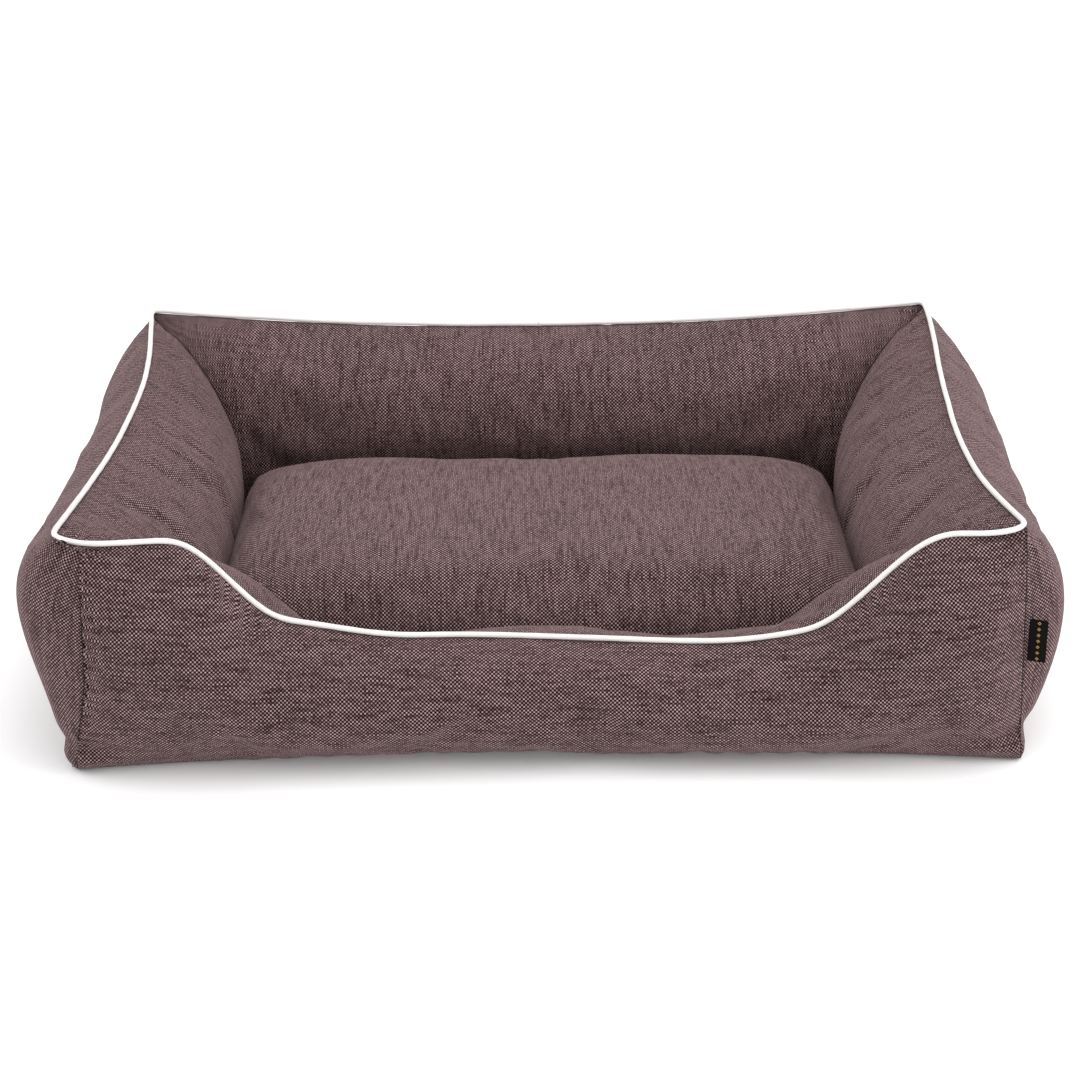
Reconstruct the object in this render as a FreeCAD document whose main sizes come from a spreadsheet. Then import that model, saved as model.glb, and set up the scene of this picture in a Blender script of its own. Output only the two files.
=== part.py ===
"""Pet cushion bed: stuffed bolsters round a lift-out mattress, in millimetres.

+X runs to the right along the low front wall's length, +Y to the back, +Z up. The origin is
on the floor under the middle of the bed. A wall is described in its own terms: "inward" is the
distance in from the straight line between its two corners, and "turn" runs from -90 degrees
at one corner, over 0 at the wall's middle, to 90 degrees at the other corner.
"""
import FreeCAD, Part
import math
import os
import Sketcher

DRIVING = {
    # Plan of the piping's corners, and the bed's overall bulges
    "corner_x": 450.0,
    "front_line": 340.0,
    "back_line": 300.0,
    "side_bulge": 70.0,
    "front_bulge": 22.0,
    "back_bulge": 62.0,
    # How far the ridge and the lower seam bow inward at the middle of each wall
    "side_ridge_bow": 25.0,
    "front_ridge_bow": 33.0,
    "back_ridge_bow": 36.0,
    "side_hem_bow": 12.0,
    "front_hem_bow": 28.0,
    "back_hem_bow": 18.0,
    "hem_inset": 10.0,
    # Heights of the ridge
    "front_corner_height": 238.0,
    "back_corner_height": 244.0,
    "side_ridge_sag": 18.0,
    "back_ridge_sag": 12.0,
    "scoop_height": 120.0,
    "scoop_flat": 200.0,
    "scoop_end": 385.0,
    # Inner face of the bolsters, all measured inward from the corner line
    "inner_bulge_corner": 107.0,
    "inner_bulge_side": 128.0,
    "inner_bulge_front": 104.5,
    "inner_bulge_back": 127.0,
    "inner_hem_corner": 62.0,
    "inner_hem_middle": 80.0,
    # Cloth and clearances
    "cloth": 1.2,
    "seam_gap": 0.4,
    "mitre_gap": 0.3,
    "ridge_flat": 2.0,
    "base_sheet": 2.0,
    "lining_sheet": 1.2,
    "floor_inset": 6.0,
    # Piping
    "piping_radius": 2.6,
    "cord_radius": 1.6,
    "piping_gap": 0.9,
    "piping_corner": 13.0,
    # Mattress
    "mattress_half_width": 318.0,
    "mattress_front": 229.5,
    "mattress_back": 164.0,
    "mattress_thickness": 128.0,
    "mattress_corner": 62.0,
    "mattress_edge": 52.0,
    # Zips
    "zip_length": 480.0,
    "tape_width": 13.0,
    "tape_thickness": 0.6,
    "coil_width": 2.4,
    "coil_height": 2.0,
    "coil_gap": 1.6,
    "slider_length": 12.0,
    "slider_width": 10.0,
    "slider_plate": 0.8,
    "slider_post": 1.0,
    "slider_play": 0.3,
    "bridge_length": 8.0,
    "bridge_width": 2.2,
    "bridge_bar": 1.5,
    "bridge_foot": 1.4,
    "bridge_rise": 2.6,
    "stop_length": 3.0,
    "pull_length": 24.0,
    "pull_width": 7.0,
    "pull_thickness": 1.4,
    "eye_length": 4.5,
    "eye_width": 3.6,
    "cover_zip_y": 181.0,
    # Label
    "label_height": 43.0,
    "label_reach": 18.0,
    "label_cloth": 0.45,
    "label_fold": 0.6,
    "label_bottom": 108.0,
    "label_seam_x": 448.5,
    "label_seam_y": -345.5,
    "label_lean": -22.0,
}

WALL_STATIONS = 13
FRONT_STATIONS = 23
CURVE_POINTS = 9
ROUNDNESS = 0.55

doc = FreeCAD.newDocument("pet_cushion_bed")
sheet = doc.addObject("Spreadsheet::Sheet", "Sizes")
for row, (alias, number) in enumerate(DRIVING.items(), start=1):
    sheet.set(f"A{row}", alias)
    sheet.set(f"B{row}", str(number))
    sheet.setAlias(f"B{row}", alias)
doc.recompute()
S = {alias: float(sheet.get(alias)) for alias in DRIVING}
nodes = {}


# ---------------------------------------------------------------- helpers

def keep(node, obj):
    """Name an object as one of the bed's pieces."""
    obj.Label = node
    nodes[node] = obj
    return obj


def bind(obj, **expressions):
    """Bind properties of an object to cells of the sheet."""
    for name, expression in expressions.items():
        obj.setExpression(name, expression)


def box(name, size, base, frame=None):
    """A Part::Box whose three sizes are expressions, placed by its lowest corner."""
    obj = doc.addObject("Part::Box", name)
    bind(obj, Length=size[0], Width=size[1], Height=size[2])
    place = FreeCAD.Placement(FreeCAD.Vector(*base), FreeCAD.Rotation())
    obj.Placement = frame.multiply(place) if frame else place
    return obj


def origin_plane(body, role):
    """One of the body's own origin planes."""
    return next(item for item in body.Origin.OriginFeatures if item.Role == role)


def rectangle_sketch(body, name, low, high, exprs):
    """A sketch of one rectangle on the body's XY plane; exprs gives its four edges."""
    sketch = body.newObject("Sketcher::SketchObject", name)
    sketch.AttachmentSupport = [(origin_plane(body, "XY_Plane"), "")]
    sketch.MapMode = "FlatFace"
    corners = [(low[0], low[1]), (high[0], low[1]), (high[0], high[1]), (low[0], high[1])]
    points = [FreeCAD.Vector(x, y, 0) for x, y in corners]
    for start, end in zip(points, points[1:] + points[:1]):
        sketch.addGeometry(Part.LineSegment(start, end), False)
    for edge in range(4):
        sketch.addConstraint(Sketcher.Constraint("Coincident", edge, 2, (edge + 1) % 4, 1))
    for edge in (0, 2):
        sketch.addConstraint(Sketcher.Constraint("Horizontal", edge))
    for edge in (1, 3):
        sketch.addConstraint(Sketcher.Constraint("Vertical", edge))
    for kind, point, value, key in (("DistanceX", 1, low[0], "x0"), ("DistanceY", 1, low[1], "y0")):
        index = sketch.addConstraint(Sketcher.Constraint(kind, -1, 1, 0, point, value))
        sketch.setExpression(f"Constraints[{index}]", exprs[key])
    for kind, value, key in (("DistanceX", high[0], "x1"), ("DistanceY", high[1], "y1")):
        index = sketch.addConstraint(Sketcher.Constraint(kind, -1, 1, 1, 2, value))
        sketch.setExpression(f"Constraints[{index}]", exprs[key])
    return sketch


def pad(body, name, sketch, length, reverse=False):
    """Pad a sketch by a bound length."""
    feature = body.newObject("PartDesign::Pad", name)
    feature.Profile = sketch
    feature.Reversed = reverse
    bind(feature, Length=length)
    return feature


# ---------------------------------------------------------------- walls

class Wall:
    """One bolster: its corner line, its bows and bulges, and its ridge height."""

    def __init__(self, name, outward, line, middle, half, stations):
        self.name = name
        self.outward = FreeCAD.Vector(*outward, 0)
        self.along = FreeCAD.Vector(-outward[1], outward[0], 0)
        self.line = line
        self.middle = FreeCAD.Vector(*middle, 0)
        self.half = half
        self.stations = stations
        side = "side" if name in ("left", "right") else name
        self.ridge_bow = S[side + "_ridge_bow"]
        self.hem_bow = S[side + "_hem_bow"]
        self.bulge = S[side + "_bulge"]
        self.inner_bulge = S["inner_bulge_" + side]

    def turns(self):
        """Angles of the stations, from corner to corner."""
        step = math.pi / (self.stations - 1)
        return [-math.pi / 2 + step * i for i in range(self.stations)]

    def ridge(self, turn):
        """Inward distance and height of the ridge at a station."""
        full = math.cos(turn) ** 2
        inward = self.ridge_bow * full
        along = math.sin(turn) * (self.half - inward)
        if self.name == "front":
            return inward, scooped_height(abs(along))
        if self.name == "back":
            return inward, S["back_corner_height"] - S["back_ridge_sag"] * full
        to_back = along * self.along.y / self.half
        mean = (S["front_corner_height"] + S["back_corner_height"]) / 2
        rise = (S["back_corner_height"] - S["front_corner_height"]) / 2
        return inward, mean + rise * to_back - S["side_ridge_sag"] * full

    def curve(self, turn, inset, outer, shift=0.0):
        """Points of the outer or inner face at a station, inset into the bolster.

        A face runs from its lower seam to the ridge along a straight line, pushed out by a
        sine; its height mixes an even rise with a round one by ROUNDNESS.
        """
        full = math.cos(turn) ** 2
        ridge_in, ridge_z = self.ridge(turn)
        foot_z = S["base_sheet"] + S["seam_gap"] + 1.2 * max(inset - S["cloth"], 0.0)
        top_z = ridge_z - 2.5 * inset
        if outer:
            hem = S["hem_inset"] + self.hem_bow * full + inset
            deepest = (self.hem_bow + S["hem_inset"] + self.ridge_bow) / 2
            push = -(self.bulge + deepest) * math.cos(turn) + inset * math.sin(abs(turn))
            push += inset * math.cos(turn)
        else:
            hem = S["inner_hem_corner"] - inset
            hem += (S["inner_hem_middle"] - S["inner_hem_corner"]) * full
            reach = S["inner_bulge_corner"]
            reach += (self.inner_bulge - S["inner_bulge_corner"]) * full - inset
            push = reach - (hem + ridge_in) / 2
        points = []
        for i in range(CURVE_POINTS):
            angle = math.pi * i / (CURVE_POINTS - 1)
            even = i / (CURVE_POINTS - 1)
            rise = ROUNDNESS * (1 - math.cos(angle)) / 2 + (1 - ROUNDNESS) * even
            inward = hem + (ridge_in + shift - hem) * even + push * math.sin(angle)
            points.append((inward, foot_z + (top_z - foot_z) * rise))
        return points

    def place(self, turn, inward, height):
        """A point of the wall in the bed's own frame: stations fan out to the mitres."""
        along = math.sin(turn) * (self.half - inward - S["mitre_gap"])
        spot = self.middle + self.outward * (self.line - inward) + self.along * along
        return FreeCAD.Vector(spot.x, spot.y, height)

    def grid(self, inset, outer, shift=0.0):
        """Rows of points over one face of the bolster."""
        return [
            [self.place(turn, inward, z) for inward, z in self.curve(turn, inset, outer, shift)]
            for turn in self.turns()
        ]


def scooped_height(along):
    """Height of the front ridge: low at the middle, a smooth step up to the corners."""
    part = (along - S["scoop_flat"]) / (S["scoop_end"] - S["scoop_flat"])
    part = min(max(part, 0.0), 1.0)
    step = part * part * (3 - 2 * part)
    return S["scoop_height"] + (S["front_corner_height"] - S["scoop_height"]) * step


def nearest_edge(face, point):
    """The face's boundary edge that passes closest to a point."""
    vertex = Part.Vertex(point)
    return min(face.Edges, key=lambda edge: edge.distToShape(vertex)[0])


def solid_between(grid_a, grid_b):
    """A closed solid between two faces given by equal grids of points."""
    faces = []
    for grid in (grid_a, grid_b):
        surface = Part.BSplineSurface()
        surface.interpolate(grid)
        faces.append(surface.toShape())
    rows = len(grid_a)
    columns = len(grid_a[0])
    spots = [(0, columns // 2), (rows - 1, columns // 2), (rows // 2, 0), (rows // 2, columns - 1)]
    for row, column in spots:
        edge_a = nearest_edge(faces[0], grid_a[row][column])
        edge_b = nearest_edge(faces[1], grid_b[row][column])
        faces.append(Part.makeRuledSurface(edge_a, edge_b))
    shell = Part.makeShell(faces)
    shell.sewShape()
    solid = Part.makeSolid(shell)
    if solid.Volume < 0:
        solid.reverse()
    return solid


def make_wall(wall):
    """The outer panel, inner panel and fibre filling of one bolster."""
    cloth = S["cloth"]
    gap = S["seam_gap"]
    fill = cloth + gap
    pieces = {
        "outer_panel_" + wall.name: (
            wall.grid(0.0, True, -gap / 2),
            wall.grid(cloth, True, -gap / 2),
        ),
        "inner_panel_" + wall.name: (
            wall.grid(0.0, False, gap / 2),
            wall.grid(cloth, False, gap / 2),
        ),
        "bolster_fill_" + wall.name: (
            wall.grid(fill, True, -S["ridge_flat"] / 2),
            wall.grid(fill, False, S["ridge_flat"] / 2),
        ),
    }
    for node, (grid_a, grid_b) in pieces.items():
        piece = doc.addObject("Part::Feature", node)
        piece.Shape = solid_between(grid_a, grid_b)
        piece.Placement = FreeCAD.Placement()
        keep(node, piece)


side_middle = (S["back_line"] - S["front_line"]) / 2
side_half = (S["back_line"] + S["front_line"]) / 2
walls = [
    Wall("front", (0, -1), S["front_line"], (0, 0), S["corner_x"], FRONT_STATIONS),
    Wall("right", (1, 0), S["corner_x"], (0, side_middle), side_half, WALL_STATIONS),
    Wall("back", (0, 1), S["back_line"], (0, 0), S["corner_x"], WALL_STATIONS),
    Wall("left", (-1, 0), S["corner_x"], (0, side_middle), side_half, WALL_STATIONS),
]
for each in walls:
    make_wall(each)


# ---------------------------------------------------------------- piping

def ridge_route():
    """Corners of the piping's path, from the join at the back's middle right round to it."""
    front, right, back, left = walls
    lift = S["piping_radius"] + S["piping_gap"]
    spots = []

    def ridge_spot(wall, turn):
        inward, height = wall.ridge(math.radians(turn))
        return wall.place(math.radians(turn), inward, height)

    def add(wall, turns):
        for turn in turns:
            run = ridge_spot(wall, turn) - ridge_spot(wall, turn - math.copysign(1.0, turn))
            level = math.hypot(run.x, run.y) / run.Length
            spots.append(ridge_spot(wall, turn) + FreeCAD.Vector(0, 0, lift / level))

    add(back, (0.35, 22, 45, 68, 90))
    add(left, (-60, -35, -12, 12, 35, 60, 90))
    scoop = (24, 29, 33, 37, 41, 45, 49, 53, 57, 62, 70)
    add(front, tuple(-turn for turn in reversed(scoop)) + (-8, 8) + scoop + (90,))
    add(right, (-60, -35, -12, 12, 35, 60, 90))
    add(back, (-68, -45, -22, -0.35))
    return spots


def rounded_path(spots, corner_radius):
    """Straight runs joined by tangent arcs, each as large as its two runs allow."""
    edges = []
    start = spots[0]
    for before, spot, after in zip(spots, spots[1:], spots[2:]):
        back = (before - spot).normalize()
        ahead = (after - spot).normalize()
        half_turn = (math.pi - back.getAngle(ahead)) / 2
        room = 0.45 * min((before - spot).Length, (after - spot).Length)
        if half_turn > math.radians(20):
            room = min(room, corner_radius * math.tan(half_turn))
        enter = spot + back * room
        leave = spot + ahead * room
        radius = room / math.tan(half_turn)
        centre = spot + (back + ahead).normalize() * (radius / math.cos(half_turn))
        crown = centre + (spot - centre).normalize() * radius
        edges.append(Part.LineSegment(start, enter).toShape())
        edges.append(Part.Arc(enter, crown, leave).toShape())
        start = leave
    edges.append(Part.LineSegment(start, spots[-1]).toShape())
    return Part.Wire(edges)


def pipe_along(path, radius):
    """A round solid of one radius along a path."""
    first = path.Edges[0]
    direction = first.tangentAt(first.FirstParameter)
    circle = Part.Circle(first.valueAt(first.FirstParameter), direction, radius)
    return path.makePipeShell([Part.Wire(circle.toShape())], True, True)


piping_path = rounded_path(ridge_route(), S["piping_corner"])
cord = doc.addObject("Part::Feature", "piping_cord")
cord.Shape = pipe_along(piping_path, S["cord_radius"] - 0.05)
keep("piping_cord", cord)
cover = doc.addObject("Part::Feature", "piping_cover")
bore = pipe_along(piping_path, S["cord_radius"])
cover.Shape = pipe_along(piping_path, S["piping_radius"]).cut(bore)
keep("piping_cover", cover)


# ---------------------------------------------------------------- base sheets

def bowed_sheet(node, half_width, front, back, bows, thickness, level):
    """A flat sheet whose four edges are arcs that bow inward between its corners."""
    body = doc.addObject("PartDesign::Body", node)
    sketch = body.newObject("Sketcher::SketchObject", node + "_outline")
    sketch.AttachmentSupport = [(origin_plane(body, "XY_Plane"), "")]
    sketch.MapMode = "FlatFace"
    wide = S["corner_x"] - S["hem_inset"]
    deep = (-S["front_line"] + S["hem_inset"], S["back_line"] - S["hem_inset"])
    corners = [(-wide, deep[0]), (wide, deep[0]), (wide, deep[1]), (-wide, deep[1])]
    inwards = [(0, 1), (-1, 0), (0, -1), (1, 0)]
    names = ["front_hem_bow", "side_hem_bow", "back_hem_bow", "side_hem_bow"]
    for edge in range(4):
        start = FreeCAD.Vector(*corners[edge], 0)
        end = FreeCAD.Vector(*corners[(edge + 1) % 4], 0)
        middle = (start + end) / 2 + FreeCAD.Vector(*inwards[edge], 0) * S[names[edge]]
        sketch.addGeometry(Part.Arc(start, middle, end), False)
    for edge in range(4):
        sketch.addConstraint(Sketcher.Constraint("Coincident", edge, 1, (edge + 1) % 4, 2))
    for edge in range(4):
        x, y = corners[edge]
        across = sketch.addConstraint(Sketcher.Constraint("DistanceX", -1, 1, edge, 2, x))
        sketch.setExpression(f"Constraints[{across}]", ("-" if x < 0 else "") + half_width)
        deep_index = sketch.addConstraint(Sketcher.Constraint("DistanceY", -1, 1, edge, 2, y))
        sketch.setExpression(f"Constraints[{deep_index}]", front if y < 0 else back)
        chord = half_width if edge in (0, 2) else f"(({back}) - ({front})) / 2"
        radius = sketch.Geometry[edge].Radius
        index = sketch.addConstraint(Sketcher.Constraint("Radius", edge, radius))
        bow = bows[edge]
        sketch.setExpression(f"Constraints[{index}]", f"(({chord})^2 + {bow}^2) / (2 * {bow})")
    pad(body, node + "_pad", sketch, thickness)
    body.Placement = FreeCAD.Placement(FreeCAD.Vector(0, 0, level), FreeCAD.Rotation())
    return keep(node, body)


bowed_sheet(
    "nonslip_base",
    "(Sizes.corner_x - Sizes.hem_inset)",
    "Sizes.hem_inset - Sizes.front_line",
    "Sizes.back_line - Sizes.hem_inset",
    ["Sizes.front_hem_bow", "Sizes.side_hem_bow", "Sizes.back_hem_bow", "Sizes.side_hem_bow"],
    "Sizes.base_sheet",
    0.0,
)


def make_floor_panel():
    """The lining sheet under the mattress, slit along the cover's zip."""
    body = doc.addObject("PartDesign::Body", "floor_panel")
    hem = S["inner_hem_middle"] + S["floor_inset"]
    low = (hem - S["corner_x"], hem - S["front_line"])
    high = (S["corner_x"] - hem, S["back_line"] - hem)
    hem_text = "Sizes.inner_hem_middle + Sizes.floor_inset"
    outline = rectangle_sketch(body, "floor_outline", low, high, {
        "x0": hem_text + " - Sizes.corner_x",
        "y0": hem_text + " - Sizes.front_line",
        "x1": f"Sizes.corner_x - ({hem_text})",
        "y1": f"Sizes.back_line - ({hem_text})",
    })
    pad(body, "floor_pad", outline, "Sizes.lining_sheet")
    half = S["zip_length"] / 2 + S["stop_length"] * 2
    slit_half = S["slider_width"] / 2 + 2 * S["slider_play"]
    slit = rectangle_sketch(
        body, "zip_slit",
        (-half, S["cover_zip_y"] - slit_half),
        (half, S["cover_zip_y"] + slit_half),
        {
            "x0": "-(Sizes.zip_length / 2 + Sizes.stop_length * 2)",
            "y0": "Sizes.cover_zip_y - Sizes.slider_width / 2 - 2 * Sizes.slider_play",
            "x1": "Sizes.zip_length / 2 + Sizes.stop_length * 2",
            "y1": "Sizes.cover_zip_y + Sizes.slider_width / 2 + 2 * Sizes.slider_play",
        },
    )
    doc.recompute()
    whole = body.Shape.Volume
    pocket = body.newObject("PartDesign::Pocket", "zip_slit_pocket")
    pocket.Profile = slit
    pocket.Type = "ThroughAll"
    pocket.Reversed = True
    doc.recompute()
    if body.Shape.Volume >= whole:
        raise RuntimeError("the zip slit cut nothing")
    level = S["base_sheet"] + S["seam_gap"]
    body.Placement = FreeCAD.Placement(FreeCAD.Vector(0, 0, level), FreeCAD.Rotation())
    keep("floor_panel", body)


make_floor_panel()


# ---------------------------------------------------------------- mattress

MATTRESS_EXPRS = {
    "x0": "-Sizes.mattress_half_width",
    "y0": "-Sizes.mattress_front",
    "x1": "Sizes.mattress_half_width",
    "y1": "Sizes.mattress_back",
}
mattress_floor = S["base_sheet"] + 2 * S["seam_gap"] + S["lining_sheet"]
mattress_middle = mattress_floor + S["mattress_thickness"] / 2


def rounded_half(name, inset, reverse):
    """Half a cushion: a pad from the seam plane with round corners and a round rim."""
    body = doc.addObject("PartDesign::Body", name)
    low = (-S["mattress_half_width"] + inset, -S["mattress_front"] + inset)
    high = (S["mattress_half_width"] - inset, S["mattress_back"] - inset)
    exprs = {
        "x0": f"{MATTRESS_EXPRS['x0']} + {inset}",
        "y0": f"{MATTRESS_EXPRS['y0']} + {inset}",
        "x1": f"{MATTRESS_EXPRS['x1']} - {inset}",
        "y1": f"{MATTRESS_EXPRS['y1']} - {inset}",
    }
    outline = rectangle_sketch(body, name + "_outline", low, high, exprs)
    height = f"Sizes.mattress_thickness / 2 - {inset}"
    block = pad(body, name + "_pad", outline, height, reverse)
    doc.recompute()
    uprights = [
        f"Edge{i}" for i, edge in enumerate(block.Shape.Edges, start=1)
        if abs(edge.tangentAt(edge.FirstParameter).z) > 0.9
    ]
    corners = body.newObject("PartDesign::Fillet", name + "_corners")
    corners.Base = (block, uprights)
    bind(corners, Radius=f"Sizes.mattress_corner - {inset}")
    doc.recompute()
    far = max if not reverse else min
    rim_z = far(edge.CenterOfMass.z for edge in corners.Shape.Edges)
    rim = [
        f"Edge{i}" for i, edge in enumerate(corners.Shape.Edges, start=1)
        if abs(edge.CenterOfMass.z - rim_z) < 0.01
    ]
    edge_fillet = body.newObject("PartDesign::Fillet", name + "_rim")
    edge_fillet.Base = (corners, rim[:1])
    bind(edge_fillet, Radius=f"Sizes.mattress_edge - {inset}")
    doc.recompute()
    return body


def cut_all(name, base, tools):
    """Cut tools from a base one after another, as a chain of Part::Cut objects."""
    result = base
    for number, tool in enumerate(tools, start=1):
        step = doc.addObject("Part::Cut", f"{name}_cut{number}")
        step.Base = result
        step.Tool = tool
        result = step
    return result


def make_mattress():
    """Top panel, bottom panel and filling, with a slit along the zip at the back."""
    cloth = S["cloth"]
    inner = cloth + S["seam_gap"]
    seam_plane = FreeCAD.Placement(FreeCAD.Vector(0, 0, mattress_middle), FreeCAD.Rotation())
    slit_half = S["slider_width"] / 2 + 2 * S["slider_play"]
    half = S["zip_length"] / 2 + S["stop_length"] * 2
    for node, reverse in (("mattress_top_panel", False), ("mattress_bottom_panel", True)):
        outside = rounded_half(node + "_outside", 0.0, reverse)
        hollow = rounded_half(node + "_hollow", cloth, reverse)
        slit = box(
            node + "_slit",
            ("Sizes.zip_length + 4 * Sizes.stop_length", "Sizes.cloth * 4",
             "Sizes.slider_width + 4 * Sizes.slider_play"),
            (-half, S["mattress_back"] - 2 * cloth, -slit_half),
        )
        seam = box(
            node + "_seam",
            ("Sizes.mattress_half_width * 3", "Sizes.mattress_half_width * 3", "Sizes.seam_gap"),
            (-1.5 * S["mattress_half_width"], -1.5 * S["mattress_half_width"],
             -S["seam_gap"] / 2),
        )
        panel = cut_all(node, outside, [hollow, slit, seam])
        panel.Placement = seam_plane
        keep(node, panel)
    upper = rounded_half("mattress_fill_upper", inner, False)
    lower = rounded_half("mattress_fill_lower", inner, True)
    whole = doc.addObject("Part::Fuse", "mattress_fill_whole")
    whole.Base = upper
    whole.Tool = lower
    groove = box(
        "mattress_fill_groove",
        ("Sizes.zip_length + 4 * Sizes.stop_length", "6", "Sizes.slider_width + 4 * Sizes.slider_play"),
        (-half, S["mattress_back"] - 4, -slit_half),
    )
    fill = cut_all("mattress_fill", whole, [groove])
    fill.Placement = seam_plane
    keep("mattress_fill", fill)


make_mattress()


# ---------------------------------------------------------------- zips

def make_zip(prefix, frame, with_pull):
    """A straight coil zip along X in its own frame: tapes lie on z = 0, the coil on top."""
    length = "Sizes.zip_length"
    half = S["zip_length"] / 2
    gap = S["coil_gap"] / 2
    coil_top = S["tape_thickness"] + S["coil_height"]
    for side, sign in (("a", -1), ("b", 1)):
        tape_y = gap if sign > 0 else -gap - S["tape_width"]
        coil_y = gap if sign > 0 else -gap - S["coil_width"]
        tape = box(
            f"{prefix}_zip_tape_{side}",
            (f"{length} + 4 * Sizes.stop_length", "Sizes.tape_width", "Sizes.tape_thickness"),
            (-half - 2 * S["stop_length"], tape_y, 0.0), frame,
        )
        keep(f"{prefix}_zip_tape_{side}", tape)
        coil = box(
            f"{prefix}_zip_coil_{side}",
            (length, "Sizes.coil_width", "Sizes.coil_height - 0.1"),
            (-half, coil_y, S["tape_thickness"] + 0.1), frame,
        )
        keep(f"{prefix}_zip_coil_{side}", coil)
    stops = doc.addObject("Part::MultiFuse", f"{prefix}_zip_stops")
    stops.Shapes = [
        box(
            f"{prefix}_zip_stop_{number}",
            ("Sizes.stop_length - 0.4", "Sizes.coil_gap + 2 * Sizes.coil_width",
             "Sizes.coil_height + 0.2"),
            (start, -gap - S["coil_width"], S["tape_thickness"] + 0.1),
        )
        for number, start in enumerate((-half - S["stop_length"], half + 0.4), start=1)
    ]
    stops.Placement = frame
    keep(f"{prefix}_zip_stops", stops)
    play = S["slider_play"]
    plate = S["slider_plate"]
    left = half - S["slider_length"]
    plate_top = coil_top + play + plate
    bridge_start = left + (S["slider_length"] - S["bridge_length"]) / 2
    plate_size = ("Sizes.slider_length", "Sizes.slider_width", "Sizes.slider_plate")
    bridge_size = ("Sizes.bridge_length", "Sizes.bridge_width", "Sizes.bridge_bar")
    foot_size = ("Sizes.bridge_foot", "Sizes.bridge_width", "Sizes.bridge_rise + Sizes.bridge_bar")
    post_height = "Sizes.tape_thickness + Sizes.coil_height + 2 * Sizes.slider_play"
    pieces = [
        box(f"{prefix}_plate_low", plate_size, (left, -S["slider_width"] / 2, -play - plate)),
        box(f"{prefix}_plate_high", plate_size, (left, -S["slider_width"] / 2, coil_top + play)),
        box(
            f"{prefix}_post",
            ("Sizes.slider_length / 3", "Sizes.slider_post",
             post_height + " + 2 * Sizes.slider_plate"),
            (left, -S["slider_post"] / 2, -play - plate),
        ),
    ]
    if with_pull:
        pieces.append(box(
            f"{prefix}_bridge", bridge_size,
            (bridge_start, -S["bridge_width"] / 2, plate_top + S["bridge_rise"]),
        ))
        far_foot = bridge_start + S["bridge_length"] - S["bridge_foot"]
        for number, start in enumerate((bridge_start, far_foot), start=1):
            pieces.append(box(
                f"{prefix}_foot_{number}", foot_size, (start, -S["bridge_width"] / 2, plate_top),
            ))
    slider = doc.addObject("Part::MultiFuse", f"{prefix}_zip_slider")
    slider.Shapes = pieces
    slider.Placement = frame
    keep(f"{prefix}_zip_slider", slider)
    if not with_pull:
        return
    pivot_x = bridge_start + S["bridge_length"] / 2
    pivot_z = plate_top + S["bridge_rise"] / 2
    pin = S["pull_thickness"] / 2
    blade = box(
        f"{prefix}_pull_blade",
        ("Sizes.pull_length", "Sizes.pull_width", "Sizes.pull_thickness"),
        (-pin, -S["pull_width"] / 2, -pin),
    )
    eye = box(
        f"{prefix}_pull_eye",
        ("Sizes.eye_length", "Sizes.eye_width", "Sizes.pull_thickness * 3"),
        (pin, -S["eye_width"] / 2, -3 * pin),
    )
    pull = cut_all(f"{prefix}_zip_pull", blade, [eye])
    turn = FreeCAD.Rotation(FreeCAD.Vector(0, 0, 1), 180)
    swing = FreeCAD.Placement(FreeCAD.Vector(pivot_x, 0, pivot_z), turn)
    pull.Placement = frame.multiply(swing)
    keep(f"{prefix}_zip_pull", pull)
    pivot = frame.multVec(FreeCAD.Vector(pivot_x, 0, pivot_z))
    print(f"{prefix} pull pivot", [round(value / 1000, 5) for value in pivot])


tape_level = S["base_sheet"] + 2 * S["seam_gap"] + S["lining_sheet"]
cover_frame = FreeCAD.Placement(
    FreeCAD.Vector(0, S["cover_zip_y"], tape_level), FreeCAD.Rotation()
)
make_zip("cover", cover_frame, True)
mattress_frame = FreeCAD.Placement(
    FreeCAD.Vector(0, S["mattress_back"] + S["seam_gap"], mattress_middle),
    FreeCAD.Rotation(FreeCAD.Vector(1, 0, 0), -90),
)
make_zip("mattress", mattress_frame, False)


# ---------------------------------------------------------------- label

def make_label():
    """A folded woven tab sewn into the right front corner seam, lying along the side."""
    body = doc.addObject("PartDesign::Body", "label_tab")
    reach = S["label_reach"]
    width = 2 * S["label_cloth"] + S["label_fold"]
    outer = rectangle_sketch(body, "label_outside", (0, 0), (reach, width), {
        "x0": "0",
        "y0": "0",
        "x1": "Sizes.label_reach",
        "y1": "2 * Sizes.label_cloth + Sizes.label_fold",
    })
    pad(body, "label_pad", outer, "Sizes.label_height")
    cloth = S["label_cloth"]
    slot = rectangle_sketch(body, "label_inside", (-1, cloth), (reach - cloth, width - cloth), {
        "x0": "-1",
        "y0": "Sizes.label_cloth",
        "x1": "Sizes.label_reach - Sizes.label_cloth",
        "y1": "Sizes.label_cloth + Sizes.label_fold",
    })
    pocket = body.newObject("PartDesign::Pocket", "label_fold_pocket")
    pocket.Profile = slot
    pocket.Type = "ThroughAll"
    pocket.Reversed = True
    doc.recompute()
    solid_volume = reach * width * S["label_height"]
    if body.Shape.Volume > 0.95 * solid_volume:
        raise RuntimeError("the label's fold cut nothing")
    seam = FreeCAD.Vector(S["label_seam_x"], S["label_seam_y"], S["label_bottom"])
    turn = FreeCAD.Rotation(FreeCAD.Vector(0, 0, 1), S["label_lean"])
    body.Placement = FreeCAD.Placement(seam, turn)
    keep("label_tab", body)


make_label()


# ---------------------------------------------------------------- check and write

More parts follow.
